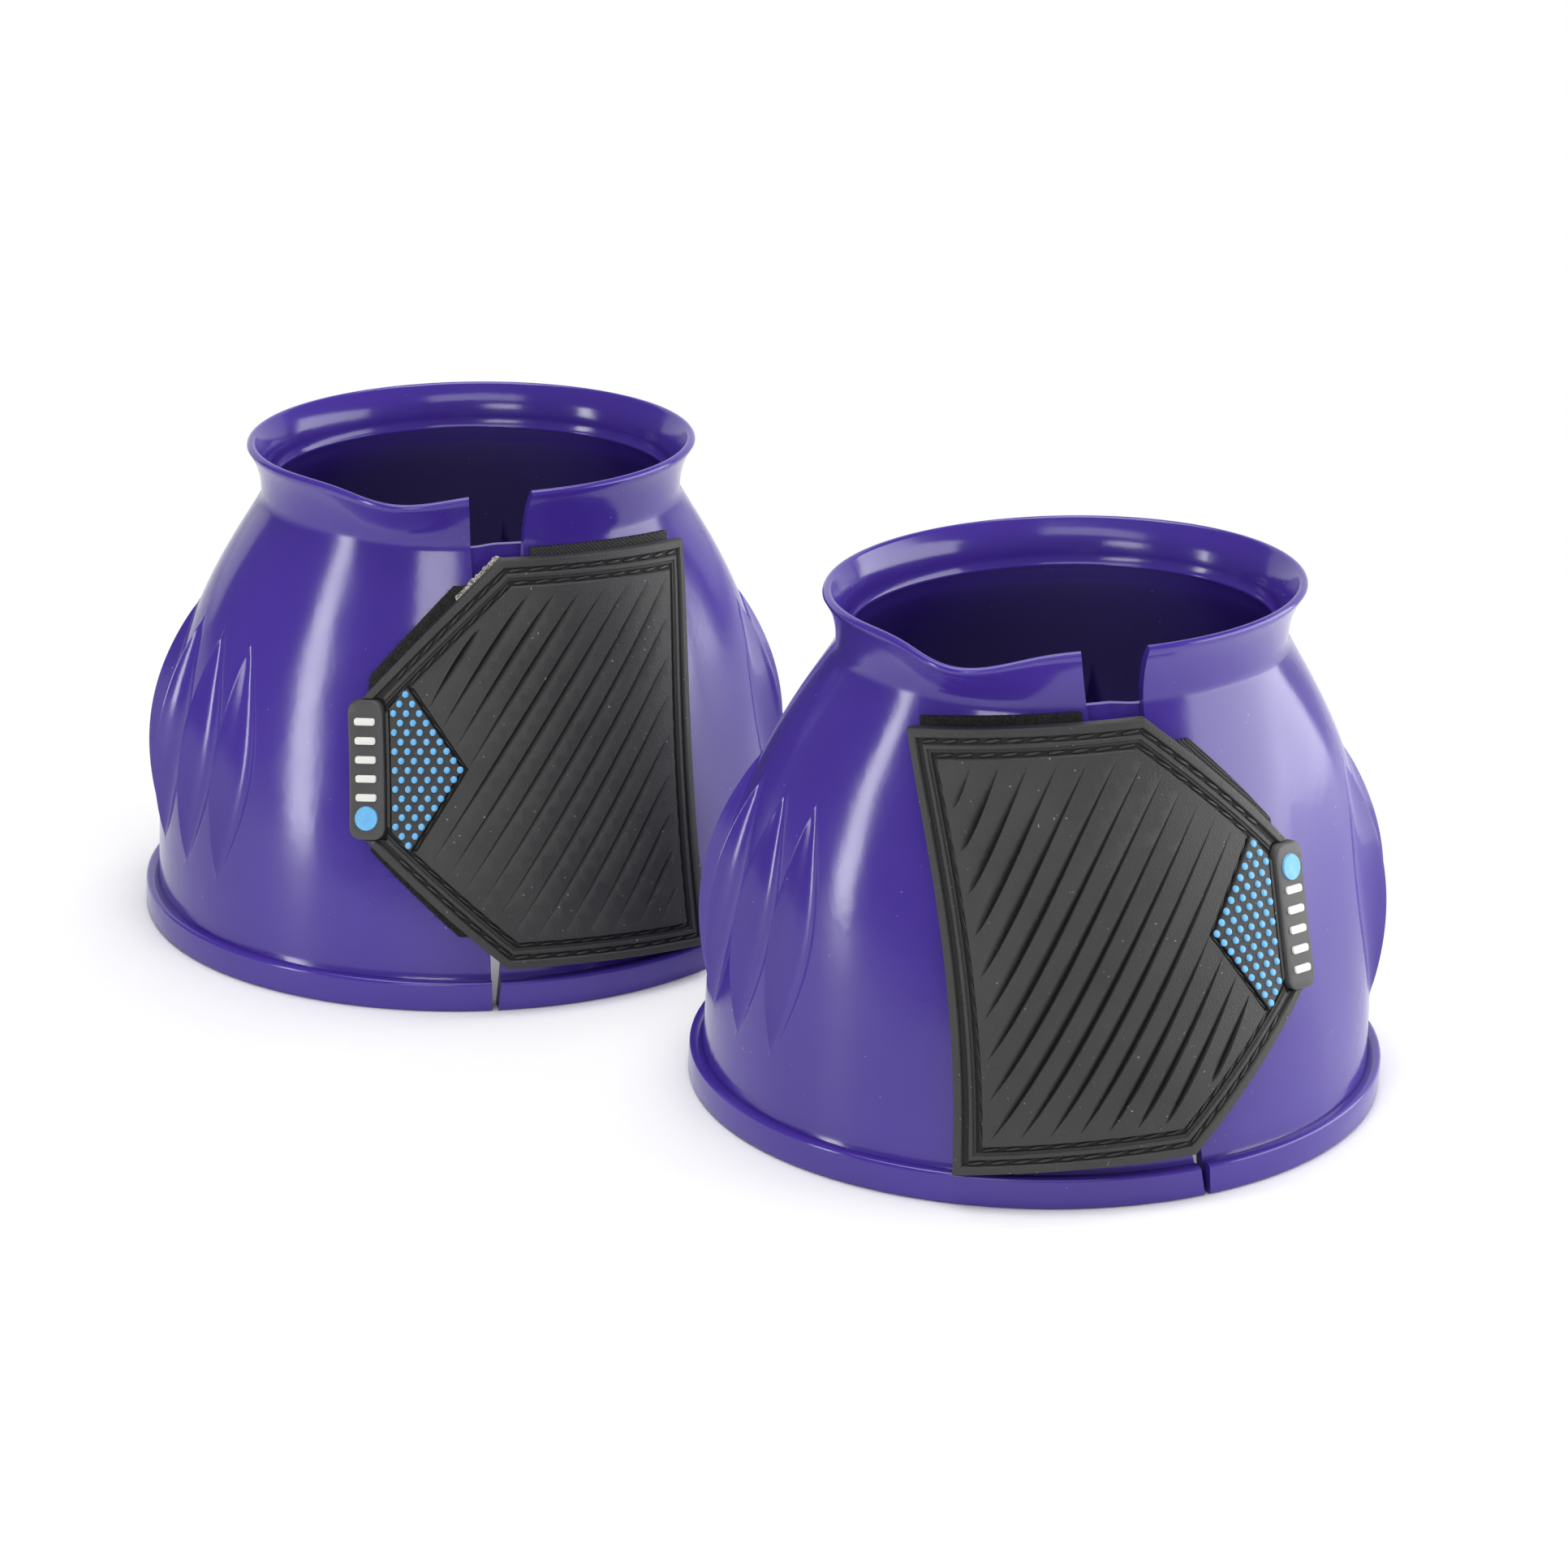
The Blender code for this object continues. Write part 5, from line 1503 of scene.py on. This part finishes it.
# painted shade: inside the bells the floor's white is darkened for bounced light; the camera still
# sees it white
seen_by_camera = named_output(tree, "ShaderNodeLightPath", {}, {}, "Is Camera Ray")
outside = nearest_boot(tree, place, *INSIDE_EDGE).math("MAXIMUM", seen_by_camera)
shaded_white = tuple(INSIDE_SHARE * value for value in STAGE_WHITE)
feed(shader, "Base Color", blend_colours(tree, 1 - outside, STAGE_WHITE, shaded_white))
stage_plane("floor", floor_finish, Matrix.Diagonal((6, 6, 1, 1)))
backdrop_finish = glowing_white("backdrop_white", backdrop_share, True)[0]
stage_plane("backdrop", backdrop_finish,
            Matrix.Translation((0, 1.6, 0.9)) @ Matrix.Rotation(math.pi / 2, 4, "X")
            @ Matrix.Diagonal((2.2, 0.9, 1, 1)))

# %% [markdown]
# The light is five soft lamps and a dim white world.  Gloss shows the shape of a lamp, so the
# lamps are placed by what the bells reflect: a tall narrow one gives the straight strip at their
# left, two low and high in front give the fainter ones, a broad one washes their right side, and
# the one above lights the floor and the collars.

# %% Lamps and world
LAMPS = (  # name, place, target, width, height, power
    ("lamp_left", (-0.80, -0.39, 0.24), (0, -0.1, 0.24), 0.12, 0.46, 2.0),
    ("lamp_low_front", (-0.28, -1.05, 0.35), (-0.05, 0, 0.12), 0.34, 0.20, 1.5),
    ("lamp_high_front", (0, -1.25, 0.95), (0, 0, 0.12), 1.20, 0.35, 4),
    ("lamp_right", (0.82, 0, 0.26), (0, 0, 0.26), 0.90, 0.50, 6.5),
    ("lamp_top", (0, 0, 1.80), (0, 0, 0), 1.40, 1.40, 32),
)
WORLD_STRENGTH = 0.16


def soft_lamp(name, place, target, width, height, power):
    data = bpy.data.lights.new(name, "AREA")
    data.shape = "RECTANGLE"
    data.size = width
    data.size_y = height
    data.energy = power
    made = bpy.data.objects.new(name, data)
    bpy.context.scene.collection.objects.link(made)
    direction = Vector(target) - Vector(place)
    made.matrix_world = (Matrix.Translation(place)
                         @ direction.to_track_quat("-Z", "Y").to_matrix().to_4x4())
    print(f"{name}: {power} W, {width} by {height} m")


for lamp in LAMPS:
    soft_lamp(*lamp)
world = bpy.data.worlds.new("studio")
bpy.context.scene.world = world
world.use_nodes = True
background = world.node_tree.nodes["Background"]
background.inputs["Color"].default_value = (1, 1, 1, 1)
background.inputs["Strength"].default_value = WORLD_STRENGTH
bpy.context.scene.view_settings.view_transform = "Standard"

# %% [markdown]
# Last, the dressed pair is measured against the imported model, which it has to fit.

# %% Measure and finish
low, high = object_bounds()
print("visual box, mm:", [round(1000 * (top - foot), 1) for foot, top in zip(low, high)])
